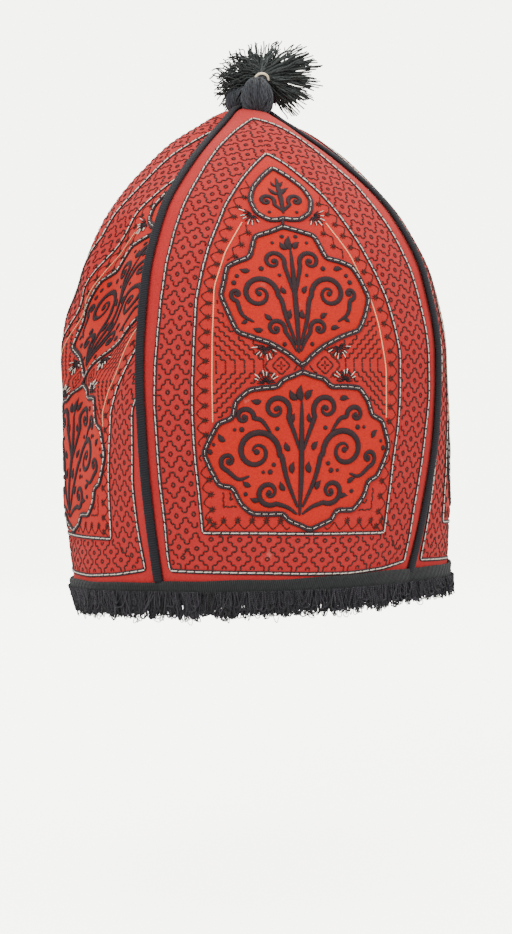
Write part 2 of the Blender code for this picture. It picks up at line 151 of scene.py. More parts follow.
# The left gore's design has slid under the front seam: by these shares of the gore's half width at
# these heights on it
LEFT_GORE = 3
OFF_HEIGHTS = (80.0, 90.0, 104.0, 116.0, 130.0, 145.0, 165.0, 200.0, 230.0)
OFF_SHARES = (0.0, 0.08, 0.28, 0.46, 0.68, 0.88, 1.12, 1.3, 1.35)
# Its lattice goes on from the border to a second line beside the back seam, above this height
WIDER_FROM = 86.0
WIDER_ROWS = 19
WIDER_CLEAR = 1.8

# Sizes of the embroidery, in millimetres
WHITE_WIDTH = 0.68
WHITE_HEIGHT = 0.8
WHITE_PITCH = 4.3
WHITE_OVERLAP = 1.06
BLACK_LINE_RADIUS = 0.38
BLACK_LINE_OFFSET = 0.56
BLACK_LINE_HEIGHT = 0.26
CORD_RADIUS = 0.66
CORD_OFFSET = 0.6
CORD_HEIGHT = 0.34
CORD_PITCH = 1.9
GROOVE_PITCH = 3.3
GROOVE_OVERLAP = 0.94
GROOVE_WIDTH = 0.44
GROOVE_HEIGHT = 1.15
CREAM_RADIUS = 0.28
CREAM_HEIGHT = 0.2
LINK_RADIUS = 0.8
LINK_HEIGHT = 0.4
BORDER_SPACING = 1.35
BORDER_MIDDLE = -4.0
# The lattice's period along the band and rows across it, the place and half length of its walls, and
# where its line goes on beside a wall
LATTICE_PERIOD = 13.6
LATTICE_ROW = 4.15
LATTICE_FIRST_ROW = 2.0
LATTICE_WALL = 1.2
LATTICE_HALF_WALL = 1.15
LATTICE_TURN = 2.2
LATTICE_TURN_LOW = 1.25
LATTICE_TURN_HIGH = 2.9
LATTICE_RING = (1.2, 0.95)
LATTICE_CLEAR = 1.55
STITCH_WIDTH = 0.76
STITCH_HEIGHT = 0.3
SPRIG_PITCH = 6.3
SPRIG_HEIGHT = 5.7
SPRIG_CLEAR = 1.9
CREAM_SPRIG_PITCH = 6.4
CREAM_SPRIG_HEIGHT = 4.6
# The diaper between the cartouches: its level, limits, and where its chevrons start
DIAPER_LEVEL = 97.0
DIAPER_MIDDLE = -2.0
DIAPER_LOW = 62.0
DIAPER_HIGH = 141.0
DIAPER_SPACING = 4.1
DIAPER_STEP = 2.05
DIAPER_STEPS = 23
DIAPER_START = 12.5
CHEVRON_NUMBERS = range(-6, 14)
DIAPER_CLEAR = 2.1
CORNER_CLEAR = 2.0
# Radius of a star's rings and their count of stitches
STAR_RINGS = ((3.4, 8), (6.1, 16))
STAR_ROOM = 7.6
STAR_CLEAR = 1.8
# Width and height of the finer stitches
DIAPER_STITCH = (0.74, 0.3)
ZIGZAG_STITCH = (0.58, 0.34)
CROSS_STITCH = (0.46, 0.34)
BLACK_RAY = (0.56, 0.7)
WHITE_RAY = (0.44, 0.85)
# Satin stitch, how far it stands on the cloth and how far it is flattened
SATIN_HEIGHT = 0.18
SATIN_SQUEEZE = 0.42
BUD_HEIGHT = 0.16
BUD_SQUEEZE = 0.4

# Seam braids
BRAID_HALF_WIDTH = 2.2
BRAID_HALF_THICKNESS = 1.1
BRAID_BOTTOM = 4.2
BRAID_TOP_RADIUS = 7.0
BRAID_SECTION = 0.45
BRAID_SIDES = 12
BRAID_STITCH = 2.1
BRAID_TAPER = 0.22
BRAID_FOOT_WIDTH = 1.14
BRAID_CLEAR = 0.3

# Loose threads: how far each one's twist is on from the last's, and a way that few of them run
THREAD_START = 0.618
RING_HELPER = (0.31, 0.77, 0.55)

# Hem fringe
TAPE_RIBS_PER_GORE = 220
TAPE_RIB = 0.06
# Section of the tape, and of the plain band behind the threads: millimetres outward and up
TAPE_PROFILE = (
    (0.5, 3.3), (0.8, 3.7), (1.4, 3.8), (1.9, 3.3), (2.1, 2.2), (1.85, 1.6), (2.1, 1.0), (1.9, 0.1),
    (2.1, -0.7), (1.8, -1.6), (0.9, -1.9), (0.5, -1.2),
)
BAND_PROFILE = ((0.35, -0.8), (0.9, -0.8), (0.9, -6.6), (0.35, -6.6))
BAND_COLUMNS = 560
BAND_RIB = 0.1
LOCKS_PER_GORE = 14
FRINGE_TOP = -0.4
FRINGE_PITCH = 1.6
FRINGE_LENGTH = 9.3
FRINGE_SIDE_CHANGE = 2.4
FRINGE_SIDE_TURN = 0.6
FRINGE_LOCK_CHANGE = 0.7
FRINGE_FLARE = 0.1
FRINGE_BUNCHES = 190
LOOPS_PER_BUNCH = 3
FRINGE_TUCK = 0.34
LOOP_POINTS = 10
LOCK_UNEVEN_STEP = 2.4
# Rows of straight threads, by count, and of loops: how far each stands off and is cut shorter
STRAIGHT_ROWS = ((1100, 0.7, 1.5), (1000, 1.0, 0.7))
LOOP_ROWS = ((1.5, 1.2), (2.1, 0.3), (2.6, 0.0))
# Places round the hem are counted in gores. This is one's width, and where the fringe is tucked in most
HEM_GORE_WIDTH = 141.0
TUCKED_TURN = 3.39

# Tassel: places are in millimetres to the right, to the back and up from the tip
TASSEL_TURN = math.radians(-14.3)
TIE_FROM_TIP = (7.9, -4.3, 12.2)
TIE_TURNS = 2
TIE_WIDTH = 0.9
TIE_CLEAR = 0.6
# Lobes of its head: centre, half width and half height, then its strands: how many, the place that
# they run from, and how near to it they start
TASSEL_LOBES = (
    ((5.6, -10.2, 2.6, 7.2, 9.7), 210, TIE_FROM_TIP, 0.06),
    ((-0.8, -2.6, 3.4, 4.6, 6.0), 90, TIE_FROM_TIP, 0.1),
    ((-5.6, 0.6, 3.4, 4.0, 6.0), 110, (-3.0, 1.0, 14.0), 0.06),
)
EGG_SHARE = 0.14
LOCK_RELIEF = 0.045
CORE_RINGS = 18
CORE_SIDES = 32
CORE_REACH = 0.9
NECK_LEAN = math.radians(50.0)
NECK_HALF_LENGTH = 5.0
NECK_RADIUS = 2.5
LOCK_ROOT_RADIUS = 2.6
LOCK_END_RADIUS = 7.5
SKIRT_THREADS_PER_LOCK = 46
# Skirt locks: swing from upright to the right and lean to the back in degrees, length
SKIRT_LOCKS = (
    (-112.0, 26.0, 25.0), (-93.0, 12.0, 25.0), (-66.0, 14.0, 21.0), (-32.0, 30.0, 20.0), (4.0, 34.0, 20.0),
    (36.0, 28.0, 21.0), (62.0, 14.0, 27.5), (84.0, 10.0, 29.0), (103.0, 22.0, 26.5), (128.0, 30.0, 25.0),
    (-100.0, 55.0, 20.0), (-45.0, 62.0, 19.0), (20.0, 70.0, 18.0), (70.0, 58.0, 20.0), (122.0, 48.0, 22.0),
)


def smooth_values(values, places):
    """A smooth curve through evenly numbered values that never overshoots them."""
    steps = np.diff(values)
    slopes = np.zeros(len(values))
    same_way = steps[:-1] * steps[1:] > 0.0
    both = np.where(same_way, steps[:-1] + steps[1:], 1.0)
    slopes[1:-1] = np.where(same_way, 2.0 * steps[:-1] * steps[1:] / both, 0.0)
    slopes[0], slopes[-1] = steps[0], steps[-1]
    first = np.clip(np.floor(places).astype(int), 0, len(values) - 2)
    t = places - first
    return (
        values[first] * (1.0 + 2.0 * t) * (1.0 - t) ** 2
        + slopes[first] * t * (1.0 - t) ** 2
        + values[first + 1] * t * t * (3.0 - 2.0 * t)
        + slopes[first + 1] * t * t * (t - 1.0)
    )


def place_between(marks, values):
    """The numbers of the last marks below some values, and the eased share of the way to the next."""
    values = np.clip(values, marks[0], marks[-1])
    first = np.clip(np.searchsorted(marks, values) - 1, 0, len(marks) - 2)
    share = (values - marks[first]) / (marks[first + 1] - marks[first])
    return first, share * share * (3.0 - 2.0 * share)


def worn(points):
    """Points of the even crown, moved to where the worn cap's cloth is.

    They stand out or in with the settled left side, and turn about +Z with the slipped seam.
    """
    angle = np.arctan2(points[..., 1], points[..., 0])
    row, up = place_between(SETTLED_HEIGHTS, points[..., 2])
    column, on = place_between(SETTLED_ANGLES, np.degrees(angle) % 360.0)
    low = SETTLED[row, column] * (1.0 - on) + SETTLED[row, column + 1] * on
    high = SETTLED[row + 1, column] * (1.0 - on) + SETTLED[row + 1, column + 1] * on
    radius = np.hypot(points[..., 0], points[..., 1])
    scale = 1.0 + (low * (1.0 - up) + high * up) / np.maximum(radius, SMALLEST_RADIUS)
    points = points * np.stack((scale, scale, np.ones_like(scale)), axis=-1)
    off_seam = angle - SLIPPED_SEAM
    beside = np.maximum(np.cos(off_seam), 0.0) ** 2
    below = np.clip(1.0 - points[..., 2] / SLIP_HEIGHT, 0.0, 1.0) ** 2
    turn = SEAM_SLIP * beside * below
    x = np.cos(turn) * points[..., 0] - np.sin(turn) * points[..., 1]
    y = np.sin(turn) * points[..., 0] + np.cos(turn) * points[..., 1]
    return np.stack((x, y, points[..., 2]), axis=-1)


def gore_arc(level, outward=0.0):
    """Height, arc radius, half angle and middle distance of a gore's section."""
    height = smooth_values(CROWN_SECTIONS[:, 0], level)
    seam = smooth_values(CROWN_SECTIONS[:, 1], level) + outward
    side = smooth_values(CROWN_SECTIONS[:, 2], level) + outward
    half_chord = seam / math.sqrt(2.0)
    rise = np.maximum(side - half_chord, 1e-6)
    radius = (half_chord**2 + rise**2) / (2.0 * rise)
    return height, radius, np.arctan2(half_chord, radius - rise), side


def step_lengths(points):
    """The length of each step of a polyline."""
    return np.linalg.norm(np.diff(points, axis=0), axis=1)


def running_length(points):
    """The length of a polyline up to each of its points."""
    return np.concatenate(([0.0], np.cumsum(step_lengths(points))))


def unit(vectors):
    """Vectors along the last axis, scaled to a length of one."""
    return vectors / np.linalg.norm(vectors, axis=-1, keepdims=True)


def away(centre, reach, angle):
    """Points at a distance and an angle in radians from a centre."""
    return np.asarray(centre, float) + np.stack((reach * np.cos(angle), reach * np.sin(angle)), axis=-1)


def quarter_turn(points, quarters):
    """Points turned about +Z by some quarter turns."""
    cosine = (1, 0, -1, 0)[quarters % 4]
    sine = (0, 1, 0, -1)[quarters % 4]
    x = cosine * points[..., 0] - sine * points[..., 1]
    y = sine * points[..., 0] + cosine * points[..., 1]
    return np.stack((x, y, points[..., 2]), axis=-1)


def even_points(level, across, outward=0.0, gap=0.0):
    """Points of the front gore's outer face before the cap was worn, in millimetres."""
    height, radius, half_angle, side = gore_arc(np.asarray(level, float), outward)
    angle = half_angle * across
    x = radius * np.sin(angle)
    y = -(radius * np.cos(angle) - radius + side) - gap
    return np.stack(np.broadcast_arrays(x, y, height), axis=-1)


def crown_points(gore, level, across, outward=0.0, gap=0.0):
    """Points of the crown's outer face, for across from -1 to 1 between a gore's seams."""
    return worn(quarter_turn(even_points(level, across, outward, gap), gore))


def middle_line_lengths():
    """The levels of a gore's middle line and its length up to each of them."""
    levels = np.linspace(0.0, LAST_LEVEL, 1200)
    return levels, running_length(crown_points(0, levels, np.zeros_like(levels)))


LINE_LEVELS, LINE_LENGTHS = middle_line_lengths()
FULL_LENGTH = LINE_LENGTHS[-1]


def half_width(v):
    """Half the width of a gore at v, along its arc."""
    _, radius, half_angle, _ = gore_arc(np.interp(v, LINE_LENGTHS, LINE_LEVELS))
    return np.maximum(radius * half_angle, 0.5)


def resampled(points, spacing, closed=False):
    """A polyline's points at an even spacing, with the corners cut a little."""
    points = np.array(points, float)
    if closed:
        points = np.vstack((points, points[:1]))
    lengths = running_length(points)
    count = max(int(round(lengths[-1] / spacing)), 2)
    places = np.linspace(0.0, lengths[-1], count + 1)
    return np.stack([np.interp(places, lengths, points[:, i]) for i in range(points.shape[1])], axis=-1)


def rounded(points, spacing, closed=False, passes=2):
    """A resampled polyline whose corners are softened by averaging neighbours."""
    line = resampled(points, spacing, closed)
    for _ in range(passes):
        if closed:
            ring = line[:-1]
            ring = 0.25 * np.roll(ring, 1, axis=0) + 0.5 * ring + 0.25 * np.roll(ring, -1, axis=0)
            line = np.vstack((ring, ring[:1]))
        else:
            line[1:-1] = 0.25 * line[:-2] + 0.5 * line[1:-1] + 0.25 * line[2:]
    return line


def side_directions(line, closed=False):
    """The unit vectors to the left of a polyline at each of its points."""
    along = np.gradient(line, axis=0)
    if closed:
        along[0] = along[-1] = line[1] - line[-2]
    along = unit(along)
    return np.stack((-along[:, 1], along[:, 0]), axis=-1)


def offset_line(line, distance, closed=False):
    """A polyline moved to its left by a distance."""
    return line + distance * side_directions(line, closed)


def inside(polygon, points):
    """Which points lie inside a polygon."""
    polygon = np.asarray(polygon, float)
    u, v = points[:, 0], points[:, 1]
    found = np.zeros(len(points), bool)
    for (u0, v0), (u1, v1) in zip(polygon, np.roll(polygon, -1, axis=0)):
        if v0 == v1:
            continue
        crosses = ((v0 > v) != (v1 > v)) & (u < (u1 - u0) * (v - v0) / (v1 - v0) + u0)
        found ^= crosses
    return found


def distance_to(line, points, closed=False):
    """The distance from each point to a polyline."""
    line = np.asarray(line, float)
    if closed:
        line = np.vstack((line, line[:1]))
    nearest = np.full(len(points), np.inf)
    for start, end in zip(line[:-1], line[1:]):
        along = end - start
        t = np.clip(((points - start) @ along) / max(along @ along, 1e-9), 0.0, 1.0)
        nearest = np.minimum(nearest, np.linalg.norm(points - start - t[:, None] * along, axis=1))
    return nearest


def keeps_clear(points, shapes, margin):
    """Which points lie outside some closed shapes by more than a margin."""
    clear = np.ones(len(points), bool)
    for shape in shapes:
        clear &= ~inside(shape, points) & (distance_to(shape, points, True) > margin)
    return clear


def closed_border(left, right, bottom):
    """The outline of a border from its two sides, which meet at its top, and its bottom."""
    return np.array(left + right[-2::-1] + bottom[-2:0:-1])


OUTER = closed_border(OUTER_LEFT, OUTER_RIGHT, OUTER_BOTTOM)
INNER = closed_border(INNER_LEFT, INNER_RIGHT, INNER_BOTTOM)
CARTOUCHES = (UPPER_CARTOUCHE, BIG_CARTOUCHE)
ORNAMENT_SHAPES = (HEART, *CARTOUCHES)


class Drawing:
    """Vertices in (u, v, height), faces and the turn of the thread, gathered for one piece of the work."""

    def __init__(self):
        self.points, self.faces, self.twists, self.count = [], [], [], 0

    def add(self, points, faces, twists):
        """Adds points with a (turns along, turns around) pair each, and faces of three or four corners."""
        self.points.append(points)
        self.faces.append(np.asarray(faces) + self.count)
        self.twists.append(twists)
        self.count += len(points)

    def join(self, other):
        """Adds all of another drawing."""
        self.points += other.points
        self.faces += [faces + self.count for faces in other.faces]
        self.twists += other.twists
        self.count += other.count

    def tube(self, line, radius, height, closed=False, sides=6, pitch=2.4, squeeze=1.0):
        """A thread laid along a line of (u, v) points, with a radius for each point or one for all."""
        line = np.asarray(line, float)
        radii = np.broadcast_to(np.asarray(radius, float), (len(line),))
        left = side_directions(line, closed)
        angles = np.arange(sides) * 2.0 * math.pi / sides
        run = running_length(line)
        aside = radii[:, None] * np.cos(angles)
        rise = height + squeeze * radii[:, None] * np.sin(angles)
        u = line[:, :1] + left[:, :1] * aside
        v = line[:, 1:2] + left[:, 1:2] * aside
        points = np.stack((u, v, rise), axis=-1).reshape(-1, 3)
        along, around = np.meshgrid(run / pitch, np.arange(sides) / sides, indexing="ij")
        twists = np.stack((along.ravel(), around.ravel()), axis=-1)
        a = np.arange(len(line) - 1)[:, None] * sides
        j = np.arange(sides)[None, :]
        k = (j + 1) % sides
        quads = np.stack((a + j, a + sides + j, a + sides + k, a + k), axis=-1).reshape(-1, 4)
        self.add(points, quads, twists)

    def stitches(self, starts, ends, width=STITCH_WIDTH, height=STITCH_HEIGHT):
        """Short stitches, each a spindle of twelve faces that lies on the cloth."""
        starts, ends = np.asarray(starts, float), np.asarray(ends, float)
        if len(starts) == 0:
            return
        along = ends - starts
        length = np.maximum(np.linalg.norm(along, axis=1), 1e-6)[:, None]
        left = np.stack((-along[:, 1], along[:, 0]), axis=-1) / length * width * 0.5
        low = np.full((len(starts), 1), 0.02)
        mid = np.full((len(starts), 1), 0.4 * height)
        top = np.full((len(starts), 1), height)
        corners = [np.hstack((starts, low))]
        for share in (0.15, 0.85):
            middle = starts + share * along
            corners += [
                np.hstack((middle + left, mid)),
                np.hstack((middle, top)),
                np.hstack((middle - left, mid)),
            ]
        corners.append(np.hstack((ends, low)))
        points = np.stack(corners, axis=1)
        shape = np.array((
            (0, 2, 1), (0, 3, 2), (0, 1, 3), (1, 2, 5), (1, 5, 4), (2, 3, 6), (2, 6, 5),
            (3, 1, 4), (3, 4, 6), (4, 5, 7), (5, 6, 7), (6, 4, 7),
        ))
        base = np.arange(len(starts))[:, None, None] * 8
        along_turns = np.array((0.0, 0.15, 0.15, 0.15, 0.85, 0.85, 0.85, 1.0))
        around_turns = np.array((0.5, 0.0, 0.3, 0.6, 0.0, 0.3, 0.6, 0.5))
        twists = np.tile(np.stack((along_turns, around_turns), axis=-1), (len(starts), 1))
        self.add(points.reshape(-1, 3), (shape[None] + base).reshape(-1, 3), twists)


def laid_stitches(drawing, path, closed, pitch, overlap, width, height):
    """Long stitches end to end along a line, each slanted a little and overlapping the next."""
    marks = resampled(path, pitch, closed)
    middle = 0.5 * (marks[:-1] + marks[1:])
    half = 0.5 * (marks[1:] - marks[:-1])
    left = np.stack((-half[:, 1], half[:, 0]), axis=-1) / np.linalg.norm(half, axis=1)[:, None]
    number = np.arange(len(middle))
    reach = (overlap + 0.08 * np.sin(2.3 * number))[:, None] * half
    drift = (0.08 + 0.07 * np.sin(1.7 * number))[:, None] * left
    drawing.stitches(middle - reach - drift, middle + reach + drift, width, height)


def segments(lines):
    """The starts, ends and middles of all the steps of some polylines."""
    lines = [np.asarray(line, float) for line in lines]
    starts = np.concatenate([line[:-1] for line in lines])
    ends = np.concatenate([line[1:] for line in lines])
    return starts, ends, 0.5 * (starts + ends)


def stitch_lines(drawing, lines, keep, *size):
    """Stitches along polylines, where a rule keeps the stitches' middles."""
    starts, ends, middle = segments(lines)
    kept = keep(middle)
    drawing.stitches(starts[kept], ends[kept], *size)


def line_pair(drawing, line, offset, radius, height, closed, *thread):
    """Two like threads, one on each side of a line."""
    for side in (-1.0, 1.0):
        drawing.tube(offset_line(line, side * offset, closed), radius, height, closed, *thread)


def couched_line(black, white, line, paths, closed):
    """White stem stitch laid between two black lines, which show through at the ends of its stitches."""
    line_pair(black, line, BLACK_LINE_OFFSET, BLACK_LINE_RADIUS, BLACK_LINE_HEIGHT, closed, 5)
    for path in paths:
        laid_stitches(white, path, False, WHITE_PITCH, WHITE_OVERLAP, WHITE_WIDTH, WHITE_HEIGHT)


def couched_cartouche(black, white, path):
    """A pair of thick black cords with thin pale stitches in the groove between them."""
    line_pair(black, rounded(path, 1.1, True), CORD_OFFSET, CORD_RADIUS, CORD_HEIGHT, True, 7, CORD_PITCH)
    laid_stitches(white, path, True, GROOVE_PITCH, GROOVE_OVERLAP, GROOVE_WIDTH, GROOVE_HEIGHT)


def lattice_cells(length, first_row, last_row):
    """The lattice of a band: its zigzag lines and rings, as polylines in (along, across) the band."""
    half = 0.5 * LATTICE_PERIOD
    ring = away((0.0, 0.0), 1.0, np.arange(5) * math.pi / 2.0 + math.pi / 4.0) * LATTICE_RING
    lines = []
    for k in range(-1, int(length / half) + 2):
        zigzag, rings = [], []
        for row in range(first_row, last_row + 1):
            across = LATTICE_FIRST_ROW + row * LATTICE_ROW
            near = (row + k) % 2
            wall = k * half + (LATTICE_WALL if near else half - LATTICE_WALL)
            turned = wall + (LATTICE_TURN if near else -LATTICE_TURN)
            zigzag += [(wall, across - LATTICE_HALF_WALL), (wall, across + LATTICE_HALF_WALL)]
            zigzag += [(turned, across + LATTICE_TURN_LOW), (turned, across + LATTICE_TURN_HIGH)]
            if not near and first_row < row < last_row:
                rings.append(np.array((k * half, across)) + ring)
        lines += [zigzag, *rings]
    return lines


def band_places(line, pairs):
    """Points given along and across a band, from its outer line."""
    lengths = running_length(line)
    side = side_directions(line)
    pairs = np.asarray(pairs, float)
    out = []
    for i in (0, 1):
        place = np.interp(pairs[:, 0], lengths, line[:, i])
        lean = np.interp(pairs[:, 0], lengths, side[:, i])
        out.append(place + lean * pairs[:, 1])
    return np.stack(out, axis=-1)


def lattice_lines(path, backward=False, first_row=-1, last_row=7):
    """The lattice's lines beside one side of the border."""
    line = rounded(path, 2.0, False, 6)
    if backward:
        line = line[::-1]
    cells = lattice_cells(step_lengths(line).sum(), first_row, last_row)
    return [band_places(line, corners) for corners in cells]


def below_mitre(points):
    """Which points lie under the lines that join the outer and inner corners of the border."""
    below = np.ones(len(points), bool)
    for (u0, v0), (u1, v1) in ((OUTER_LEFT[0], INNER_LEFT[0]), (OUTER_RIGHT[0], INNER_RIGHT[0])):
        below &= points[:, 1] - v0 < (points[:, 0] - u0) * (v1 - v0) / (u1 - u0)
    return below


def in_band(points):
    """Which points lie between the outer and inner lines, with a margin to both."""
    within = inside(OUTER, points) & (distance_to(OUTER, points, True) > LATTICE_CLEAR)
    return within & keeps_clear(points, (INNER,), LATTICE_CLEAR)


def draw_lattice(drawing):
    """The lattice all round the border: its left, its right and its bottom."""
    stitch_lines(
        drawing, lattice_lines(OUTER_LEFT, True),
        lambda p: in_band(p) & (p[:, 0] < BORDER_MIDDLE) & ~below_mitre(p),
    )
    stitch_lines(
        drawing, lattice_lines(OUTER_RIGHT),
        lambda p: in_band(p) & (p[:, 0] >= BORDER_MIDDLE) & ~below_mitre(p),
    )
    stitch_lines(drawing, lattice_lines(OUTER_BOTTOM), lambda p: in_band(p) & below_mitre(p))


def draw_sprigs(drawing, path, side, pitch=SPRIG_PITCH, tall=SPRIG_HEIGHT):
    """Zigzag sprigs that stand on a line, each with a small cross at its top.

    Their corners are in millimetres along the line and up from it.
    """
    line = rounded(path, 1.0, False, 4)
    length = step_lengths(line).sum()
    count = int(length / pitch)
    own_pitch = length / count
    zigzags, crosses = [], []
    for i in range(count):
        foot, top, next_foot = i * own_pitch, (i + 0.5) * own_pitch, (i + 1) * own_pitch
        zigzags += [
            ((foot - 0.1, 1.7), (foot + 1.5, 2.9)),
            ((foot + 1.4, 2.8), (top, tall - 0.6)),
            ((top, tall - 0.6), (next_foot - 1.4, 2.8)),
            ((next_foot - 1.5, 2.9), (next_foot + 0.1, 1.7)),
        ]
        crosses += [
            ((top - 1.8, tall), (top + 1.8, tall)),
            ((top, tall - 1.7), (top, tall + 1.9)),
            ((top - 1.3, tall - 1.2), (top + 1.3, tall + 1.3)),
            ((top - 1.3, tall + 1.2), (top + 1.3, tall - 1.3)),
        ]
    for pairs, size in ((zigzags, ZIGZAG_STITCH), (crosses, CROSS_STITCH)):
        lines = [band_places(line, np.array(pair) * (1.0, side)) for pair in pairs]
        stitch_lines(drawing, lines, lambda p: keeps_clear(p, ORNAMENT_SHAPES, SPRIG_CLEAR), *size)


def staircase(u, v, turn_u, turn_v):
    """A stepped line that leaves a place at 45 degrees."""
    line = [(u, v)]
    for _ in range(DIAPER_STEPS):
        v += turn_v * DIAPER_STEP
        line.append((u, v))
        u += turn_u * DIAPER_STEP
        line.append((u, v))
    return line


def chevrons(side):
    """Nested stepped chevrons that open to one side."""
    low, high = DIAPER_LEVEL - 0.5 * DIAPER_STEP, DIAPER_LEVEL + 0.5 * DIAPER_STEP
    lines = []
    for i in CHEVRON_NUMBERS:
        u = side * (DIAPER_START + i * DIAPER_SPACING) + DIAPER_MIDDLE
        lines += [staircase(u, low, side, -1.0), staircase(u, high, side, 1.0), [(u, low), (u, high)]]
    return lines


def star(centre):
    """Two lobed rings round a small cross."""
    lines = []
    for radius, count in STAR_RINGS:
        angles = np.arange(count + 1) * 2.0 * math.pi / count
        lines.append(away(centre, radius * (1.0 + 0.16 * np.cos(4.0 * angles)), angles))
    for angle in np.arange(4) * 0.5 * math.pi:
        lines.append([away(centre, 0.3, angle), away(centre, 2.0, angle)])
    return lines


def draw_diaper(drawing):
    """Nested stepped chevrons and the small stars in the triangles between the cartouches."""
    for side, cream in ((-1.0, CREAM_LEFT), (1.0, CREAM_RIGHT)):
        centre = np.array((side * 9.9 - 1.0, DIAPER_LEVEL))
        edge_u, edge_v = np.array(cream[::-1]).T

        def in_triangle(p):
            near = side * p[:, 0] < side * np.interp(p[:, 1], edge_v, edge_u) - 1.0
            near &= (p[:, 1] > DIAPER_LOW) & (p[:, 1] < DIAPER_HIGH)
            near &= (np.abs(p - centre).sum(axis=1) > STAR_ROOM) & (side * (p[:, 0] - DIAPER_MIDDLE) > 0.0)
            return near & keeps_clear(p, CARTOUCHES, DIAPER_CLEAR)

        stitch_lines(drawing, chevrons(side), in_triangle, *DIAPER_STITCH)
        stitch_lines(drawing, star(centre), lambda p: keeps_clear(p, CARTOUCHES, STAR_CLEAR), *DIAPER_STITCH)


def draw_corner_lines(drawing):
    """Two nested wavy lines in each corner under the big cartouche."""
    lines = []
    for side, foot in ((-1.0, (-37.4, 36.6)), (1.0, (33.6, 33.4))):
        for inset, up_count, out_count in ((0.0, 7, 12), (3.1, 3, 7)):
            corner = np.array((foot[0] - side * inset, foot[1] + inset))
            lines.append([corner + (0.7 * (i % 2), 1.6 * i) for i in range(up_count)])
            lines.append([corner + (-side * 1.6 * i, 0.7 * (i % 2) - 0.3) for i in range(out_count)])
    stitch_lines(drawing, lines, lambda p: keeps_clear(p, (BIG_CARTOUCHE,), CORNER_CLEAR), *DIAPER_STITCH)


# A starburst's black and white rays: how many, the degrees between them, where they start and end
BLACK_RAYS = (9, 21.0, 0.4, 5.7)
WHITE_RAYS = (6, 27.0, 3.2, 6.0)
# Starbursts: foot (u, v) and the way they point in degrees
STARBURSTS = (
    (-17.4, 167.4, 225.0),
    (10.0, 166.8, -42.0),
    (-17.4, 105.6, 258.0),
    (15.6, 105.6, -78.0),
    (-17.9, 89.4, 92.0),
    (18.2, 89.8, 88.0),
)


def draw_starbursts(black, white):
    """Fans of black and white stitches that spring from the cartouches' outlines."""
    for u, v, way in STARBURSTS:
        count, between, start, reach = BLACK_RAYS
        for i in range(count):
            off = i - 0.5 * (count - 1)
            angle = math.radians(way + off * between)
            length = reach - 0.1 * off**2 + 0.5 * math.sin(2.7 * i + u)
            black.stitches([away((u, v), start, angle)], [away((u, v), length, angle)], *BLACK_RAY)
        count, between, start, reach = WHITE_RAYS
        for i in range(count):
            off = i - 0.5 * (count - 1)
            angle = math.radians(way + off * between + 5.0 * math.sin(3.1 * i + v))
            length = reach + 0.7 * math.sin(1.9 * i + u)
            white.stitches([away((u, v), start, angle)], [away((u, v), length, angle)], *WHITE_RAY)


def spiral(centre, radius, start, turns, hand, inner=0.2, count=30):
    """Points of a tendril that winds in to a centre, from its outer end."""
    t = np.linspace(0.0, 1.0, count)
    reach = radius * (1.0 - (1.0 - inner) * t**0.85)
    return away(centre, reach, math.radians(start) + hand * 2.0 * math.pi * turns * t)


def curve_through(points, spacing=0.8):
    """A smooth curve through a few points."""
    points = np.array(points, float)
    padded = np.vstack((2 * points[0] - points[1], points, 2 * points[-1] - points[-2]))
    out = []
    for a, b, c, d in zip(padded[:-3], padded[1:-2], padded[2:-1], padded[3:]):
        square, cube = 2 * a - 5 * b + 4 * c - d, 3 * b - a - 3 * c + d
        for t in np.linspace(0.0, 1.0, 12, endpoint=False):
            out.append(0.5 * (2 * b + (c - a) * t + square * t**2 + cube * t**3))
    out.append(points[-1])
    return resampled(out, spacing)


def mirrored(points, middle):
    """Points mirrored in the line u = middle."""
    return np.stack((2.0 * middle - points[:, 0], points[:, 1]), axis=-1)


def satin(drawing, line, radii, height=SATIN_HEIGHT, squeeze=SATIN_SQUEEZE):
    """Satin stitch over a line: a low rounded back, with its threads wound close."""
    drawing.tube(line, radii, height, False, 8, 0.7, squeeze)


def pen_stroke(drawing, points, width, ends=(0.35, 0.25)):
    """A satin stroke, thick in its middle and thinner at its ends."""
    line = resampled(points, 0.8)
    t = np.linspace(0.0, 1.0, len(line))
    swell = np.sin(math.pi * t) ** 0.6
    taper = ends[0] * (1.0 - t) + ends[1] * t
    satin(drawing, line, 0.5 * width * np.maximum(taper + (1.0 - taper) * swell, 0.18))


def leaf(drawing, foot, way, length, width):
    """A pointed leaf in satin stitch."""
    foot = np.array(foot)
    along = away((0.0, 0.0), 1.0, math.radians(way))
    side = np.array((-along[1], along[0]))
    middle = foot + 0.5 * length * along + 0.12 * length * side
    line = curve_through((foot, middle, foot + length * along), 0.55)
    t = np.linspace(0.0, 1.0, len(line))
    satin(drawing, line, 0.5 * width * np.maximum(np.sin(math.pi * t**0.8), 0.08))


def bud(drawing, centre, radius):
    """A small round bud in satin stitch."""
    reach = np.linspace(-1.0, 1.0, 8)
    line = np.stack((centre[0] + radius * reach, np.full(8, float(centre[1]))), axis=-1)
    satin(drawing, line, radius * np.sqrt(np.maximum(1.0 - reach**2, 0.02)), BUD_HEIGHT, BUD_SQUEEZE)


def paired(draw, drawing, middle, points, *sizes):
    """A stroke and its mirror image about a cartouche's middle line."""
    draw(drawing, points, *sizes)
    draw(drawing, mirrored(points, middle), *sizes)


def paired_leaf(drawing, middle, foot, way, length, width):
    """A leaf and its mirror image."""
    leaf(drawing, foot, way, length, width)
    leaf(drawing, (2.0 * middle - foot[0], foot[1]), 180.0 - way, length, width)


def tendril(stem, centre, radius, start, turns, hand):
    """The line of a stroke that leaves the stem and winds up round a centre."""
    curl = spiral(centre, radius, start, turns, hand, 0.16)
    return np.vstack((curve_through((*stem, curl[0])), curl[1:]))


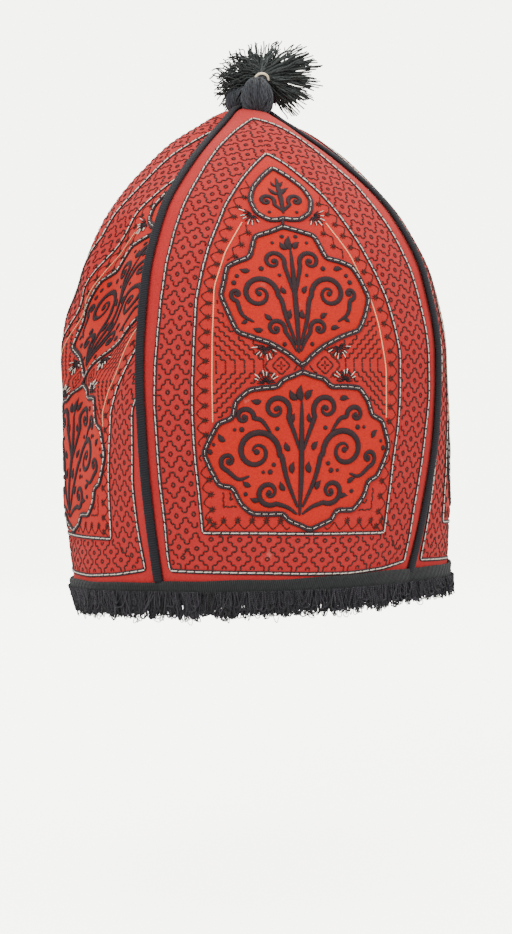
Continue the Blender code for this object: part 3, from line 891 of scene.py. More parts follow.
def fits(shape, line, margin):
    """Whether a line keeps clear of a cartouche's outline by a margin."""
    line = np.asarray(line, float)
    return bool(inside(shape, line).all() and distance_to(shape, line, True).min() > margin)


def bud_places(shape, drawn, middle, low, high, reach):
    """Pairs of mirrored places on a staggered grid, clear of a cartouche's outline and scrolls."""
    pairs = []
    for row in range(int((high - low) / BUD_STEP) + 1):
        for column in range(int(reach / BUD_STEP) + 2):
            spot = np.array((middle + (column + 0.5 * (row % 2)) * BUD_STEP, low + row * BUD_STEP))
            pair = (spot, (2.0 * middle - spot[0], spot[1]))
            clear = spot[0] - middle > BUD_CLEAR and np.linalg.norm(drawn - spot, axis=1).min() > BUD_CLEAR
            if clear and fits(shape, pair, BUD_CLEAR):
                pairs.append(pair)
    return pairs


def scrollwork(drawing, shape, middle, low, high, reach, strokes, leaves):
    """Mirrored scrolls and leaves on a stem, and small buds in the gaps, drawn to fill a cartouche."""
    own = Drawing()

    def at(across, up):
        return (middle + across * reach, low + up * (high - low))

    pen_stroke(own, curve_through([at(0.0, up) for up in STEM_PLACES]), 2.5)
    for stem, centre, radius, start, turns, hand, width in strokes:
        line = tendril([at(*p) for p in stem], at(*centre), radius * reach, start, turns, hand)
        paired(pen_stroke, own, middle, line, width)
        for side in (-1.0, 1.0):
            bud(own, at(side * centre[0], centre[1]), 0.5 * width)
    for across, up, way, length, width in leaves:
        paired_leaf(own, middle, at(across, up), way, length, width)
    leaf(own, at(0.0, 0.85), 90.0, 7.2, 3.4)
    drawn = np.concatenate(own.points)[:, :2]
    for number, pair in enumerate(bud_places(shape, drawn, middle, low, high, reach)):
        for place in pair:
            bud(own, place, 1.0 + 0.22 * math.sin(2.1 * number))
    drawing.join(own)


# Scrolls of a cartouche as shares of its reach and height: stem points, centre, radius, first angle in
# degrees, turns, hand and width in millimetres; then leaves: foot, way in degrees, length and width
UPPER_STROKES = (
    (((0.03, 0.1), (0.15, 0.3), (0.2, 0.44)), (0.52, 0.5), 0.28, 188.0, 1.5, -1.0, 2.5),
    (((0.02, 0.5), (0.07, 0.62)), (0.27, 0.76), 0.17, 205.0, 1.35, -1.0, 2.2),
    (((0.03, 0.05), (0.1, 0.13)), (0.32, 0.23), 0.14, 200.0, 1.3, -1.0, 2.1),
    (((0.62, 0.28), (0.78, 0.34)), (0.84, 0.5), 0.1, 270.0, 1.2, 1.0, 2.1),
)
UPPER_LEAVES = (
    (0.05, 0.86, 52.0, 4.6, 2.9), (0.1, 0.3, 96.0, 4.4, 2.6), (0.13, 0.5, 62.0, 4.0, 2.4),
    (0.62, 0.69, 8.0, 4.6, 2.5), (0.36, 0.3, 40.0, 4.2, 2.4), (0.5, 0.22, 10.0, 4.4, 2.4),
    (0.72, 0.3, -30.0, 3.0, 2.0),
)
BIG_STROKES = (
    (((0.03, 0.1), (0.16, 0.3), (0.22, 0.46)), (0.5, 0.5), 0.26, 190.0, 1.5, -1.0, 2.7),
    (((0.02, 0.5), (0.08, 0.62)), (0.28, 0.8), 0.16, 215.0, 1.35, -1.0, 2.4),
    (((0.03, 0.05), (0.14, 0.1)), (0.36, 0.21), 0.15, 235.0, 1.35, 1.0, 2.4),
    (((0.34, 0.63), (0.44, 0.72)), (0.63, 0.75), 0.11, 190.0, 1.2, -1.0, 2.3),
    (((0.58, 0.33), (0.7, 0.31)), (0.81, 0.44), 0.1, 280.0, 1.25, 1.0, 2.2),
)
BIG_LEAVES = (
    (0.05, 0.86, 55.0, 5.4, 3.1), (0.1, 0.34, 96.0, 5.2, 2.8), (0.13, 0.5, 62.0, 4.6, 2.6),
    (0.44, 0.86, 4.0, 4.6, 2.6), (0.84, 0.58, 50.0, 4.6, 2.6), (0.46, 0.16, 10.0, 4.6, 2.4),
    (0.18, 0.22, 62.0, 4.6, 2.6), (0.56, 0.26, 30.0, 4.4, 2.4), (0.1, 0.7, 100.0, 4.2, 2.2),
)
# Where the scrolls have room: the middle line, the lowest and highest places, and the reach to a side
UPPER_ROOM = (-2.9, 100.0, 157.5, 30.5)
BIG_ROOM = (-2.3, 29.5, 90.5, 40.0)
HEART_MIDDLE = -3.6
# Places of the stem's points up the room, and the buds' spacing and clearance in millimetres
STEM_PLACES = (0.04, 0.3, 0.62, 0.86)
BUD_STEP = 3.1
BUD_CLEAR = 2.5


def heart_motif(drawing, middle):
    """A small mirrored palmette in the heart."""
    pen_stroke(drawing, curve_through([(middle, v) for v in (167.6, 174.0, 181.0, 188.5)]), 2.4)
    curl = spiral((middle + 6.6, 174.6), 3.8, 215.0, 1.2, -1.0, 0.2, 22)
    root = curve_through(((middle + 0.2, 168.8), curl[0]))
    paired(pen_stroke, drawing, middle, np.vstack((root, curl[1:])), 2.2)
    paired_leaf(drawing, middle, (middle + 0.6, 178.0), 48.0, 6.0, 2.2)
    paired_leaf(drawing, middle, (middle + 1.0, 183.0), 62.0, 3.8, 1.6)
    for side in (-1.0, 1.0):
        bud(drawing, (middle + side * 6.6, 174.8), 0.9)
        bud(drawing, (middle + side * 6.2, 168.4), 0.8)


def drawn_off(gore, v):
    """How far a gore's whole design lies to the right of its middle line at v."""
    if gore != LEFT_GORE:
        return np.zeros_like(v)
    share = np.interp(v, OFF_HEIGHTS, OFF_SHARES)
    return share * half_width(v)


def draw_gore():
    """All the embroidery of a gore, by the kind of thread."""
    work = {kind: Drawing() for kind in THREAD_LOOKS}
    black, white, dark, scrolls, cream = work.values()
    for shape, sides in (
        (OUTER, (OUTER_LEFT, OUTER_RIGHT, OUTER_BOTTOM)),
        (INNER, (INNER_LEFT, INNER_RIGHT, INNER_BOTTOM)),
    ):
        couched_line(black, white, rounded(shape, BORDER_SPACING, True), sides, True)
    for shape in ORNAMENT_SHAPES:
        couched_cartouche(black, white, shape)
    for link in SHAPE_LINKS:
        black.tube(resampled(link, 0.8), LINK_RADIUS, LINK_HEIGHT, False, 7, CORD_PITCH)
    draw_lattice(dark)
    draw_sprigs(dark, INNER_LEFT[:-2], -1.0)
    draw_sprigs(dark, INNER_RIGHT[:-3], 1.0)
    draw_sprigs(dark, INNER_BOTTOM, 1.0)
    draw_sprigs(dark, CREAM_LEFT[:3], 1.0, CREAM_SPRIG_PITCH, CREAM_SPRIG_HEIGHT)
    draw_sprigs(dark, CREAM_RIGHT[:3], -1.0, CREAM_SPRIG_PITCH, CREAM_SPRIG_HEIGHT)
    draw_diaper(dark)
    draw_corner_lines(dark)
    draw_starbursts(black, white)
    for path in (CREAM_LEFT, CREAM_RIGHT):
        cream.tube(rounded(path, 1.2, False, 4), CREAM_RADIUS, CREAM_HEIGHT, False, 5, 1.6)
    scrollwork(scrolls, UPPER_CARTOUCHE, *UPPER_ROOM, UPPER_STROKES, UPPER_LEAVES)
    scrollwork(scrolls, BIG_CARTOUCHE, *BIG_ROOM, BIG_STROKES, BIG_LEAVES)
    heart_motif(scrolls, HEART_MIDDLE)
    return work


def widen_left(work):
    """The left gore's further lattice, between its shifted border and a second line by the back seam."""
    seam_line = resampled(OUTER_LEFT, 3.0)
    seam_line = seam_line[seam_line[:, 1] > WIDER_FROM - 5.0]
    seam_line[:, 0] -= drawn_off(LEFT_GORE, seam_line[:, 1])

    def between(p):
        right = p[:, 0] > np.interp(p[:, 1], seam_line[:, 1], seam_line[:, 0]) + WIDER_CLEAR
        right &= (p[:, 1] > WIDER_FROM) & (p[:, 0] < BORDER_MIDDLE)
        return right & keeps_clear(p, (OUTER,), WIDER_CLEAR)

    stitch_lines(work["dark_stitches"], lattice_lines(OUTER_LEFT, True, -WIDER_ROWS, -1), between)
    couched_line(work["black_cords"], work["white_threads"], rounded(seam_line, 1.0), (seam_line,), False)


def cloth_waves(gore, u, v):
    """How far the cloth stands out or in: slow uneven waves, and a dip along each couched line."""
    points = np.stack(((u - drawn_off(gore, v)).ravel(), v.ravel()), axis=-1)
    shift = 1.9 * gore
    waves = 0.34 * np.sin(u / 12.0 + v / 33.0 + shift) * np.cos(v / 19.0 - 1.3 * shift)
    waves += 0.2 * np.sin(u / 7.2 - v / 11.0 + 2.0 * shift) * np.cos(u / 21.0 + v / 8.3)
    dip = np.zeros(len(points))
    for shape, depth in zip((OUTER, INNER, *ORNAMENT_SHAPES), DIP_DEPTHS):
        dip = np.maximum(dip, depth * np.exp(-((distance_to(shape, points, True) / DIP_WIDTH) ** 2)))
    seam_fade = np.clip((half_width(v) - np.abs(u)) / 5.0, 0.0, 1.0)
    hem_fade = np.clip(v / 8.0, 0.0, 1.0)
    tip_fade = np.clip((FULL_LENGTH - v) / 14.0, 0.0, 1.0)
    return (waves - dip.reshape(u.shape)) * seam_fade * hem_fade * tip_fade


def cloth_grid(gore):
    """The outer face of a gore's cloth as rows up it and columns across it, with its normals and (u, v)."""
    rows = np.linspace(0.0, FULL_LENGTH, CLOTH_ROWS + 1)
    acrosses = np.linspace(-1.0, 1.0, CLOTH_COLUMNS + 1)
    v, across = np.meshgrid(rows, acrosses, indexing="ij")
    level = np.interp(v, LINE_LENGTHS, LINE_LEVELS)
    u = across * half_width(v)
    step = 0.03
    up = crown_points(gore, np.minimum(level + step, LAST_LEVEL - step), across)
    up -= crown_points(gore, np.clip(level - step, 0.0, LAST_LEVEL - 3 * step), across)
    safe = np.minimum(level, LAST_LEVEL - step)
    right = crown_points(gore, safe, np.minimum(across + step, 1.0))
    right -= crown_points(gore, safe, np.maximum(across - step, -1.0))
    normal = unit(np.cross(right, up))
    flat = crown_points(gore, level, across, gap=SEAM_GAP)
    return flat + normal * cloth_waves(gore, u, v)[..., None], flat, normal, u, v


def on_cloth(grid, points):
    """Places in millimetres of (u, v, height) points on a gore's cloth."""
    places, _, normals, _, _ = grid
    v = np.clip(points[:, 1], 0.0, FULL_LENGTH)
    row = v / FULL_LENGTH * CLOTH_ROWS
    column = (np.clip(points[:, 0] / half_width(v), -1.0, 1.0) + 1.0) * 0.5 * CLOTH_COLUMNS
    r = np.clip(np.floor(row).astype(int), 0, CLOTH_ROWS - 1)
    c = np.clip(np.floor(column).astype(int), 0, CLOTH_COLUMNS - 1)
    a, b = (row - r)[:, None], (column - c)[:, None]

    def mixed(values):
        low = values[r, c] * (1 - b) + values[r, c + 1] * b
        high = values[r + 1, c] * (1 - b) + values[r + 1, c + 1] * b
        return low * (1 - a) + high * a

    return mixed(places) + mixed(normals) * points[:, 2:3]


def mesh_piece(name, points, face_sets, twists=None, smooth=True):
    """An object from points in millimetres and arrays of triangles or quads, with a thread UV when given."""
    mesh = bpy.data.meshes.new(name)
    sizes = np.concatenate([np.full(len(f), f.shape[1]) for f in face_sets])
    corners = np.concatenate([f.ravel() for f in face_sets]).astype(np.int32)
    mesh.vertices.add(len(points))
    mesh.vertices.foreach_set("co", (np.asarray(points) * MM).astype(np.float32).ravel())
    mesh.loops.add(len(corners))
    mesh.loops.foreach_set("vertex_index", corners)
    mesh.polygons.add(len(sizes))
    mesh.polygons.foreach_set("loop_start", np.concatenate(([0], np.cumsum(sizes)[:-1])).astype(np.int32))
    mesh.polygons.foreach_set("loop_total", sizes.astype(np.int32))
    if twists is not None:
        layer = mesh.uv_layers.new(name="thread")
        layer.data.foreach_set("uv", np.asarray(twists)[corners].astype(np.float32).ravel())
    mesh.update(calc_edges=True)
    mesh.validate()
    if smooth:
        mesh.shade_smooth()
    piece = bpy.data.objects.new(name, mesh)
    bpy.context.scene.collection.objects.link(piece)
    return piece


def dress(piece, material):
    """Gives a piece its material and the body it rides on."""
    piece.data.materials.append(material)
    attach(piece, "root")
    return piece


def add_node(tree, kind, settings=None, links=None):
    """Adds a shader node, sets its attributes or sockets by name, and links sockets from others."""
    new = tree.nodes.new(kind)
    for name, value in (settings or {}).items():
        if isinstance(name, int) or name in new.inputs:
            new.inputs[name].default_value = value
        else:
            setattr(new, name, value)
    for name, source in (links or {}).items():
        tree.links.new(source, new.inputs[name])
    return new


def hex_colour(text):
    """The linear colour of an sRGB hex value."""
    values = [int(text[i:i + 2], 16) / 255.0 for i in (1, 3, 5)]
    linear = [c / 12.92 if c <= 0.04045 else ((c + 0.055) / 1.055) ** 2.4 for c in values]
    return (*linear, 1.0)


# Sockets of the Mix node when it mixes colours
MIX_FACTOR, MIX_A, MIX_B, MIX_RESULT = 0, 6, 7, 2
# What varies the wool: patches where the dye took unevenly, the nap's tufts, and worn spots where the
# pale foundation shows. Each has its noise, the noise's range, its greatest share and its colour.
WOOL_SPOTS = (
    ({"Scale": 38.0, "Detail": 3.0}, 0.35, 0.72, 0.35, "#b62c2c"),
    ({"Scale": 1100.0, "Detail": 4.0, "Roughness": 0.7}, 0.3, 0.7, 0.5, "#86140f"),
    ({"Scale": 95.0, "Detail": 5.0, "Roughness": 0.6}, 0.69, 0.78, 0.55, "#c46a60"),
)
TUFTS = 1


def new_material(name):
    """A material with its tree and Principled shader."""
    material = bpy.data.materials.new(name)
    material.use_nodes = True
    tree = material.node_tree
    return material, tree, tree.nodes["Principled BSDF"]


def set_surface(tree, shader, colour, normal, values):
    """Links a shader's colour and normal, and sets its other inputs by name."""
    tree.links.new(colour, shader.inputs["Base Color"])
    tree.links.new(normal, shader.inputs["Normal"])
    for name, value in values.items():
        shader.inputs[name].default_value = value


def felted_wool():
    """Felted wool cloth, woven then fulled: matt, with a soft nap, thin places and faded patches."""
    material, tree, shader = new_material("felted_red_wool")
    place = add_node(tree, "ShaderNodeTexCoord").outputs["Object"]
    tint = add_node(tree, "ShaderNodeAttribute", {"attribute_name": "ground"}).outputs["Fac"]
    colour = add_node(
        tree, "ShaderNodeMix",
        {"data_type": "RGBA", MIX_A: hex_colour("#b02a2b"), MIX_B: hex_colour("#be2413")},
        {MIX_FACTOR: tint},
    ).outputs[MIX_RESULT]
    spots = []
    for noise, low, high, most, tone in WOOL_SPOTS:
        spots.append(add_node(tree, "ShaderNodeTexNoise", noise, {"Vector": place}).outputs["Fac"])
        share = add_node(
            tree, "ShaderNodeMapRange", {"From Min": low, "From Max": high, "To Max": most},
            {"Value": spots[-1]},
        ).outputs["Result"]
        colour = add_node(
            tree, "ShaderNodeMix", {"data_type": "RGBA", MIX_B: hex_colour(tone)},
            {MIX_FACTOR: share, MIX_A: colour},
        ).outputs[MIX_RESULT]
    bump = add_node(
        tree, "ShaderNodeBump", {"Strength": 0.5, "Distance": 0.0004}, {"Height": spots[TUFTS]}
    ).outputs["Normal"]
    set_surface(tree, shader, colour, bump, {
        "Roughness": 0.95,
        "IOR": 1.5,
        "Specular IOR Level": 0.2,
        "Sheen Weight": 0.18,
        "Sheen Roughness": 0.5,
        "Sheen Tint": hex_colour("#ff9c8c"),
    })
    return material


def twisted_thread(name, dark, light, roughness, sheen, plies=2.0, depth=0.0003):
    """Plied thread: the plies wind round each other. Slanting bands of painted highlight along their crowns,
    broken up at random by noise, stand for the light they catch, and a bump follows the same bands.
    """
    material, tree, shader = new_material(name)
    turns = add_node(tree, "ShaderNodeTexCoord").outputs["UV"]
    place = add_node(tree, "ShaderNodeTexCoord").outputs["Object"]
    winding = add_node(
        tree, "ShaderNodeTexWave",
        {
            "bands_direction": "DIAGONAL", "Scale": plies * math.pi / 5.0, "Distortion": 0.4,
            "Detail Scale": 3.0,
        },
        {"Vector": turns},
    ).outputs["Fac"]
    uneven = add_node(
        tree, "ShaderNodeTexNoise", {"Scale": 420.0, "Detail": 4.0, "Roughness": 0.65}, {"Vector": place}
    ).outputs["Fac"]
    share = add_node(
        tree, "ShaderNodeMath", {"operation": "MULTIPLY"}, {0: winding, 1: uneven}
    ).outputs["Value"]
    spread = add_node(
        tree, "ShaderNodeMapRange", {"From Min": 0.05, "From Max": 0.5}, {"Value": share}
    ).outputs["Result"]
    # Painted highlight: the colour goes from dark to light along each ply's crown, where light would catch
    # it, and it varies at random with the noise
    colour = add_node(
        tree, "ShaderNodeMix", {"data_type": "RGBA", MIX_A: hex_colour(dark), MIX_B: hex_colour(light)},
        {MIX_FACTOR: spread},
    ).outputs[MIX_RESULT]
    # Painted shade: the shade attribute darkens threads set behind others, the band behind the fringe, the
    # tassel's lobe cores and the strands in the hollows between its locks. It also darkens some bunches and
    # threads at random, as a duller dye.
    shade = add_node(tree, "ShaderNodeAttribute", {"attribute_name": "shade"}).outputs["Fac"]
    shaded = add_node(
        tree, "ShaderNodeMix", {"data_type": "RGBA", MIX_B: hex_colour("#050506")},
        {MIX_FACTOR: shade, MIX_A: colour},
    ).outputs[MIX_RESULT]
    bump = add_node(
        tree, "ShaderNodeBump", {"Strength": 0.7, "Distance": depth}, {"Height": winding}
    ).outputs["Normal"]
    set_surface(tree, shader, shaded, bump, {
        "Roughness": roughness,
        "IOR": 1.5,
        "Specular IOR Level": 0.35,
        "Sheen Weight": sheen,
        "Sheen Roughness": 0.4,
    })
    return material


def inner_face(gore, flat, normals):
    """The inside of a gore's cloth, a wall's thickness in and on its own side of the seams."""
    inward = normals.copy()
    inward[0, :, 2] = 0.0
    for column, across in ((0, -1.0), (-1, 1.0)):
        plane = quarter_turn(np.array((1.0, across, 0.0)) / math.sqrt(2.0), gore)
        inward[:, column] -= (inward[:, column] @ plane)[:, None] * plane
    reach = WALL_THICKNESS / np.maximum((inward * normals).sum(axis=-1), 0.2)
    inner = flat - inward * reach[..., None]
    inner[-1] = inner[-1, CLOTH_COLUMNS // 2].copy()
    return inner


def wall_faces(rows, columns):
    """Quads of a wall between two like grids: its outside, its inside, and its hem and two seams."""
    step = rows * columns
    index = np.arange(step).reshape(rows, columns)
    corners = (index[:-1, :-1], index[:-1, 1:], index[1:, 1:], index[1:, :-1])
    outside = np.stack(corners, axis=-1).reshape(-1, 4)
    rims = []
    for edge in (index[0, ::-1], index[:, 0], index[::-1, -1]):
        for p, q in zip(edge[:-1], edge[1:]):
            rims.append((p, q, q + step, p + step))
    return [outside, outside[:, ::-1] + step, np.array(rims)]


def build_cloth(gore, grid):
    """A gore's wool cloth, with a note of where its red is brighter: in the ornament and about it."""
    places, flat, normals, u, v = grid
    inner = inner_face(gore, flat, normals)
    points = np.concatenate((places.reshape(-1, 3), inner.reshape(-1, 3)))
    cloth = mesh_piece("gore_" + GORES[gore] + "_cloth", points, wall_faces(*u.shape))
    drawn = np.stack(((u - drawn_off(gore, v)).ravel(), v.ravel()), axis=-1)
    ground = inside(INNER, drawn) * INNER_GROUND
    for shape in ORNAMENT_SHAPES:
        ground = np.maximum(ground, inside(shape, drawn))
    layer = cloth.data.attributes.new("ground", "FLOAT", "POINT")
    layer.data.foreach_set("value", np.concatenate((ground, np.zeros_like(ground))).astype(np.float32))
    return cloth


def build_gore(gore, work, materials):
    """One gore: its wool cloth, and its embroidery laid on the cloth."""
    name = "gore_" + GORES[gore]
    grid = cloth_grid(gore)
    cloth = build_cloth(gore, grid)
    dress(cloth, materials["wool"])
    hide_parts(name)
    for kind, drawing in work.items():
        drawn = np.concatenate(drawing.points)
        drawn[:, 0] += drawn_off(gore, drawn[:, 1])
        on_gore = np.abs(drawn[:, 0]) < half_width(drawn[:, 1]) - SEAM_MARGIN
        kept = [f[on_gore[f].all(axis=1)] for f in drawing.faces]
        by_corners = ([f for f in kept if f.shape[1] == corners] for corners in (3, 4))
        sets = [np.concatenate(faces) for faces in by_corners if faces]
        piece = mesh_piece(name + "_" + kind, on_cloth(grid, drawn), sets, np.concatenate(drawing.twists))
        material, slot = THREAD_LOOKS[kind]
        dress(piece, materials[material])


def braid_track():
    """Levels at even steps up the seam, from the braid's bottom to its top, and the length up to each."""
    levels = np.linspace(0.0, LAST_LEVEL, 3000)
    heights, radii, halves, _ = gore_arc(levels)
    bottom = np.interp(BRAID_BOTTOM, heights, levels)
    reach = radii * np.sin(halves) * math.sqrt(2.0)
    top = np.interp(-BRAID_TOP_RADIUS, -reach[reach > 0.5], levels[reach > 0.5])
    track = np.linspace(bottom, top, 1500)
    run = running_length(even_points(track, 1.0))
    even_run = np.linspace(0.0, run[-1], int(run[-1] / BRAID_SECTION) + 1)
    return np.interp(even_run, run, track), even_run


def seam_braid_rings():
    """Oval sections of the braid on the front gore's right seam, each with a plaited relief."""
    track, run = braid_track()
    middle = even_points(track, 1.0)
    across_seam = np.array((1.0, 1.0, 0.0)) / math.sqrt(2.0)
    step = 0.02
    up = even_points(np.minimum(track + step, LAST_LEVEL - 0.001), 1.0)
    up -= even_points(np.maximum(track - step, 0.0), 1.0)
    normal = unit(np.cross(middle - even_points(track, 1.0 - step), up))
    outward = unit(normal - (normal @ across_seam)[:, None] * across_seam)
    facing = (normal * outward).sum(axis=1)
    aside = np.sqrt(np.maximum(1.0 - facing**2, 0.0))
    taper = BRAID_TAPER * run / run[-1]
    wide_here = BRAID_HALF_WIDTH * (BRAID_FOOT_WIDTH - taper)
    thick_here = BRAID_HALF_THICKNESS * (1.0 - 0.5 * taper)
    stand = (np.hypot(wide_here * aside, thick_here * facing) + BRAID_CLEAR) / facing
    middle = middle + outward * stand[:, None]
    angles = np.arange(BRAID_SIDES) * 2.0 * math.pi / BRAID_SIDES
    wide, thick = np.cos(angles), np.sin(angles)
    phase = run[:, None] / BRAID_STITCH + 0.75 * np.abs(wide)[None, :]
    relief = 1.0 + 0.03 * np.sin(2.0 * math.pi * phase) - 0.12 * np.exp(-((wide / 0.16) ** 2))[None, :]
    place = middle[:, None, :] + across_seam * (wide_here[:, None] * wide * relief)[..., None]
    place = place + outward[:, None, :] * (thick_here[:, None] * thick * relief)[..., None]
    return place, run


def tube_faces(rings, sides, capped=True):
    """Quads between the rings of a tube, and triangles that close its two ends."""
    a = np.arange(rings - 1)[:, None] * sides
    j = np.arange(sides)[None, :]
    k = (j + 1) % sides
    quads = np.stack((a + j, a + k, a + sides + k, a + sides + j), axis=-1).reshape(-1, 4)
    if not capped:
        return [quads]
    fan = np.arange(1, sides - 1)
    low = np.stack((np.zeros_like(fan), fan + 1, fan), axis=-1)
    last = (rings - 1) * sides
    high = np.stack((np.full_like(fan, last), last + fan, last + fan + 1), axis=-1)
    return [quads, np.concatenate((low, high))]


def build_braids(material):
    """The plaited black braids that cover the seams."""
    place, run = seam_braid_rings()
    rings, sides = place.shape[:2]
    turns = np.stack(np.meshgrid(run / BRAID_STITCH, np.arange(sides) / sides, indexing="ij"), axis=-1)
    for quarters, seam in enumerate(SEAMS):
        points = worn(quarter_turn(place.reshape(-1, 3), quarters))
        name = "seam_braid_" + seam
        piece = mesh_piece(name + "_plait", points, tube_faces(rings, sides), turns.reshape(-1, 2))
        dress(piece, material)
        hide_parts(name)


def hem_points(turn, outward, height):
    """Points round the hem: turn counts gores from the front one's left seam, sizes are in millimetres."""
    turn, outward, height = np.broadcast_arrays(*(np.asarray(x, float) for x in (turn, outward, height)))
    gore = np.floor(turn % 4.0).astype(int)
    across = -1.0 + 2.0 * (turn % 1.0)
    level = np.interp(np.maximum(height, 0.0), gore_arc(LINE_LEVELS)[0], LINE_LEVELS)
    tucked = np.maximum(np.cos((turn - TUCKED_TURN) * math.pi / 2.0), 0.0) ** 2
    outward = outward + FRINGE_TUCK * tucked * np.minimum(height, 0.0)
    points = np.zeros(turn.shape + (3,))
    for number in range(4):
        mask = gore == number
        points[mask] = crown_points(number, level[mask], across[mask], outward[mask])
    points[..., 2] = height
    return points


def fringe_length(turn):
    """How far the fringe hangs below the hem: longer on the left, and uneven from lock to lock."""
    angle = (turn - 1.5) * math.pi / 2.0
    uneven = np.sin(LOCK_UNEVEN_STEP * np.floor(turn * LOCKS_PER_GORE))
    return FRINGE_LENGTH - FRINGE_SIDE_CHANGE * np.cos(angle - FRINGE_SIDE_TURN) + FRINGE_LOCK_CHANGE * uneven


def tube_rings(paths, radii, sides):
    """Rings of points about each point of some paths."""
    along = np.gradient(paths, axis=1)
    along /= np.maximum(np.linalg.norm(along, axis=2), 1e-9)[..., None]
    first = np.cross(along, np.broadcast_to(RING_HELPER, along.shape))
    first /= np.maximum(np.linalg.norm(first, axis=2), 1e-9)[..., None]
    second = np.cross(along, first)
    angles = np.arange(sides) * 2.0 * math.pi / sides
    ring = first[:, :, None, :] * np.cos(angles)[None, None, :, None]
    ring = ring + second[:, :, None, :] * np.sin(angles)[None, None, :, None]
    return paths[:, :, None, :] + ring * radii[:, :, None, None]


class Threads:
    """Many thin tubes gathered for one piece, from paths with the same number of points."""

    def __init__(self):
        self.points, self.quads, self.twists, self.shades, self.count = [], [], [], [], 0

    def add(self, points, quads, twists, shades):
        """Adds points with their twists and shades, and quads between them."""
        self.quads.append(quads + self.count)
        self.points.append(points)
        self.twists.append(twists)
        self.shades.append(shades)
        self.count += len(points)

    def add_plain(self, points, quads, shade):
        """Adds a plain closed form behind the threads, darkened by its shade as painted shade."""
        self.add(points, quads, np.zeros((len(points), 2)), np.full(len(points), shade))

    def add_tubes(self, paths, radius, sides, pitch, taper, shade=0.0):
        """Adds a tube along each path; paths is an array of threads by points by xyz, in millimetres.

        Radius and shade, how far a thread is darkened, are one number or one for each thread.
        """
        threads, length, _ = paths.shape
        radii = np.broadcast_to(np.reshape(radius, (-1, 1)), (threads, length)).copy()
        radii[:, -1] *= taper
        steps = np.linalg.norm(np.diff(paths, axis=1), axis=2)
        run = np.concatenate((np.zeros((threads, 1)), np.cumsum(steps, axis=1)), axis=1)
        start = (np.arange(threads) * THREAD_START)[:, None]
        around = (np.arange(sides) / sides)[None, None, :]
        twists = np.stack(np.broadcast_arrays((run / pitch + start)[:, :, None], around), axis=-1)
        base = np.arange(threads)[:, None, None] * (length * sides)
        quads = (tube_faces(length, sides, False)[0][None] + base).reshape(-1, 4)
        shades = np.broadcast_to(np.reshape(shade, (-1, 1)), (threads, length * sides)).ravel()
        self.add(tube_rings(paths, radii, sides).reshape(-1, 3), quads, twists.reshape(-1, 2), shades)

    def piece(self, name):
        """The gathered tubes as one object."""
        piece = mesh_piece(
            name, np.concatenate(self.points), [np.concatenate(self.quads)], np.concatenate(self.twists)
        )
        layer = piece.data.attributes.new("shade", "FLOAT", "POINT")
        layer.data.foreach_set("value", np.concatenate(self.shades).astype(np.float32))
        return piece


def hem_ring(profile, columns, rib):
    """A closed band round the hem from a profile of (outward, height), ribbed from column to column."""
    profile = np.array(profile)
    column = np.arange(columns)
    turn = column * 4.0 / columns
    sway = 0.22 * np.sin(turn * 9.3) + 0.18 * np.sin(turn * 23.0 + 1.0) + 0.6
    sway += 1.3 * np.cos((turn - 1.3) * math.pi / 2.0)
    ribs = rib * np.cos(column * math.pi) + 0.06 * np.sin(turn * 41.0)
    outward = profile[None, :, 0] + ribs[:, None]
    height = profile[None, :, 1] + sway[:, None] * (profile[None, :, 1] > 2.0)
    points = hem_points(np.broadcast_to(turn[:, None], outward.shape), np.maximum(outward, 0.35), height)
    index = np.arange(outward.size).reshape(outward.shape)
    after = np.roll(index, -1, axis=0)
    quads = np.stack((index, np.roll(index, -1, axis=1), np.roll(after, -1, axis=1), after), axis=-1)
    around = np.arange(len(profile))[None, :] / len(profile)
    twists = np.stack(np.broadcast_arrays(column[:, None] / 3.0, around), axis=-1)
    return points.reshape(-1, 3), quads.reshape(-1, 4), twists.reshape(-1, 2)


def build_hem_tape(material):
    """The fringe's header: a narrow ribbed tape sewn round the outside of the hem."""
    points, quads, twists = hem_ring(TAPE_PROFILE, 4 * TAPE_RIBS_PER_GORE, TAPE_RIB)
    dress(mesh_piece("hem_tape", points, [quads], twists), material)


def hanging_loops(dice, threads, turn, width, length, stand, lean, curl, radius, shade):
    """Loops of thread under the hem: down one side, round the foot and up the other."""
    t = np.linspace(0.0, 1.0, LOOP_POINTS)[None, :]
    side = -np.cos(math.pi * t)
    down = np.sin(math.pi * t) ** 0.42
    wave = dice.uniform(0.0, 2.0 * math.pi, len(turn))[:, None]
    sway = curl[:, None] * down * np.sin(2.6 * down + 1.6 * side + wave)
    around = turn[:, None] + (0.5 * width[:, None] * side * (0.35 + 0.65 * down) + sway) / HEM_GORE_WIDTH
    around = around + lean[:, None] * length[:, None] * down / HEM_GORE_WIDTH
    outward = stand[:, None] + curl[:, None] * 0.7 * down * np.cos(3.0 * down + wave) + FRINGE_FLARE * down
    height = FRINGE_TOP - length[:, None] * down
    threads.add_tubes(hem_points(around % 4.0, outward, height), radius, 3, FRINGE_PITCH, 1.0, shade)


def straight_threads(dice, threads, count, stand, shorter):
    """A dense row of straight threads behind the loops, darkened as painted shade."""
    turn = (np.arange(count) + dice.uniform(-0.6, 0.6, count)) * 4.0 / count
    down = np.linspace(0.0, 1.0, 5)[None, :]
    length = fringe_length(turn % 4.0) - shorter + dice.normal(0.0, 0.5, count)
    lean = dice.normal(0.0, 0.9, count)[:, None] * down / HEM_GORE_WIDTH
    height = FRINGE_TOP - length[:, None] * down
    outward = np.full(height.shape, stand)
    points = hem_points((turn[:, None] + lean) % 4.0, outward, height)
    # Painted shade: these rows stand behind the loops, so their threads are darkened by half
    threads.add_tubes(points, 0.36, 3, FRINGE_PITCH, 1.0, 0.5)


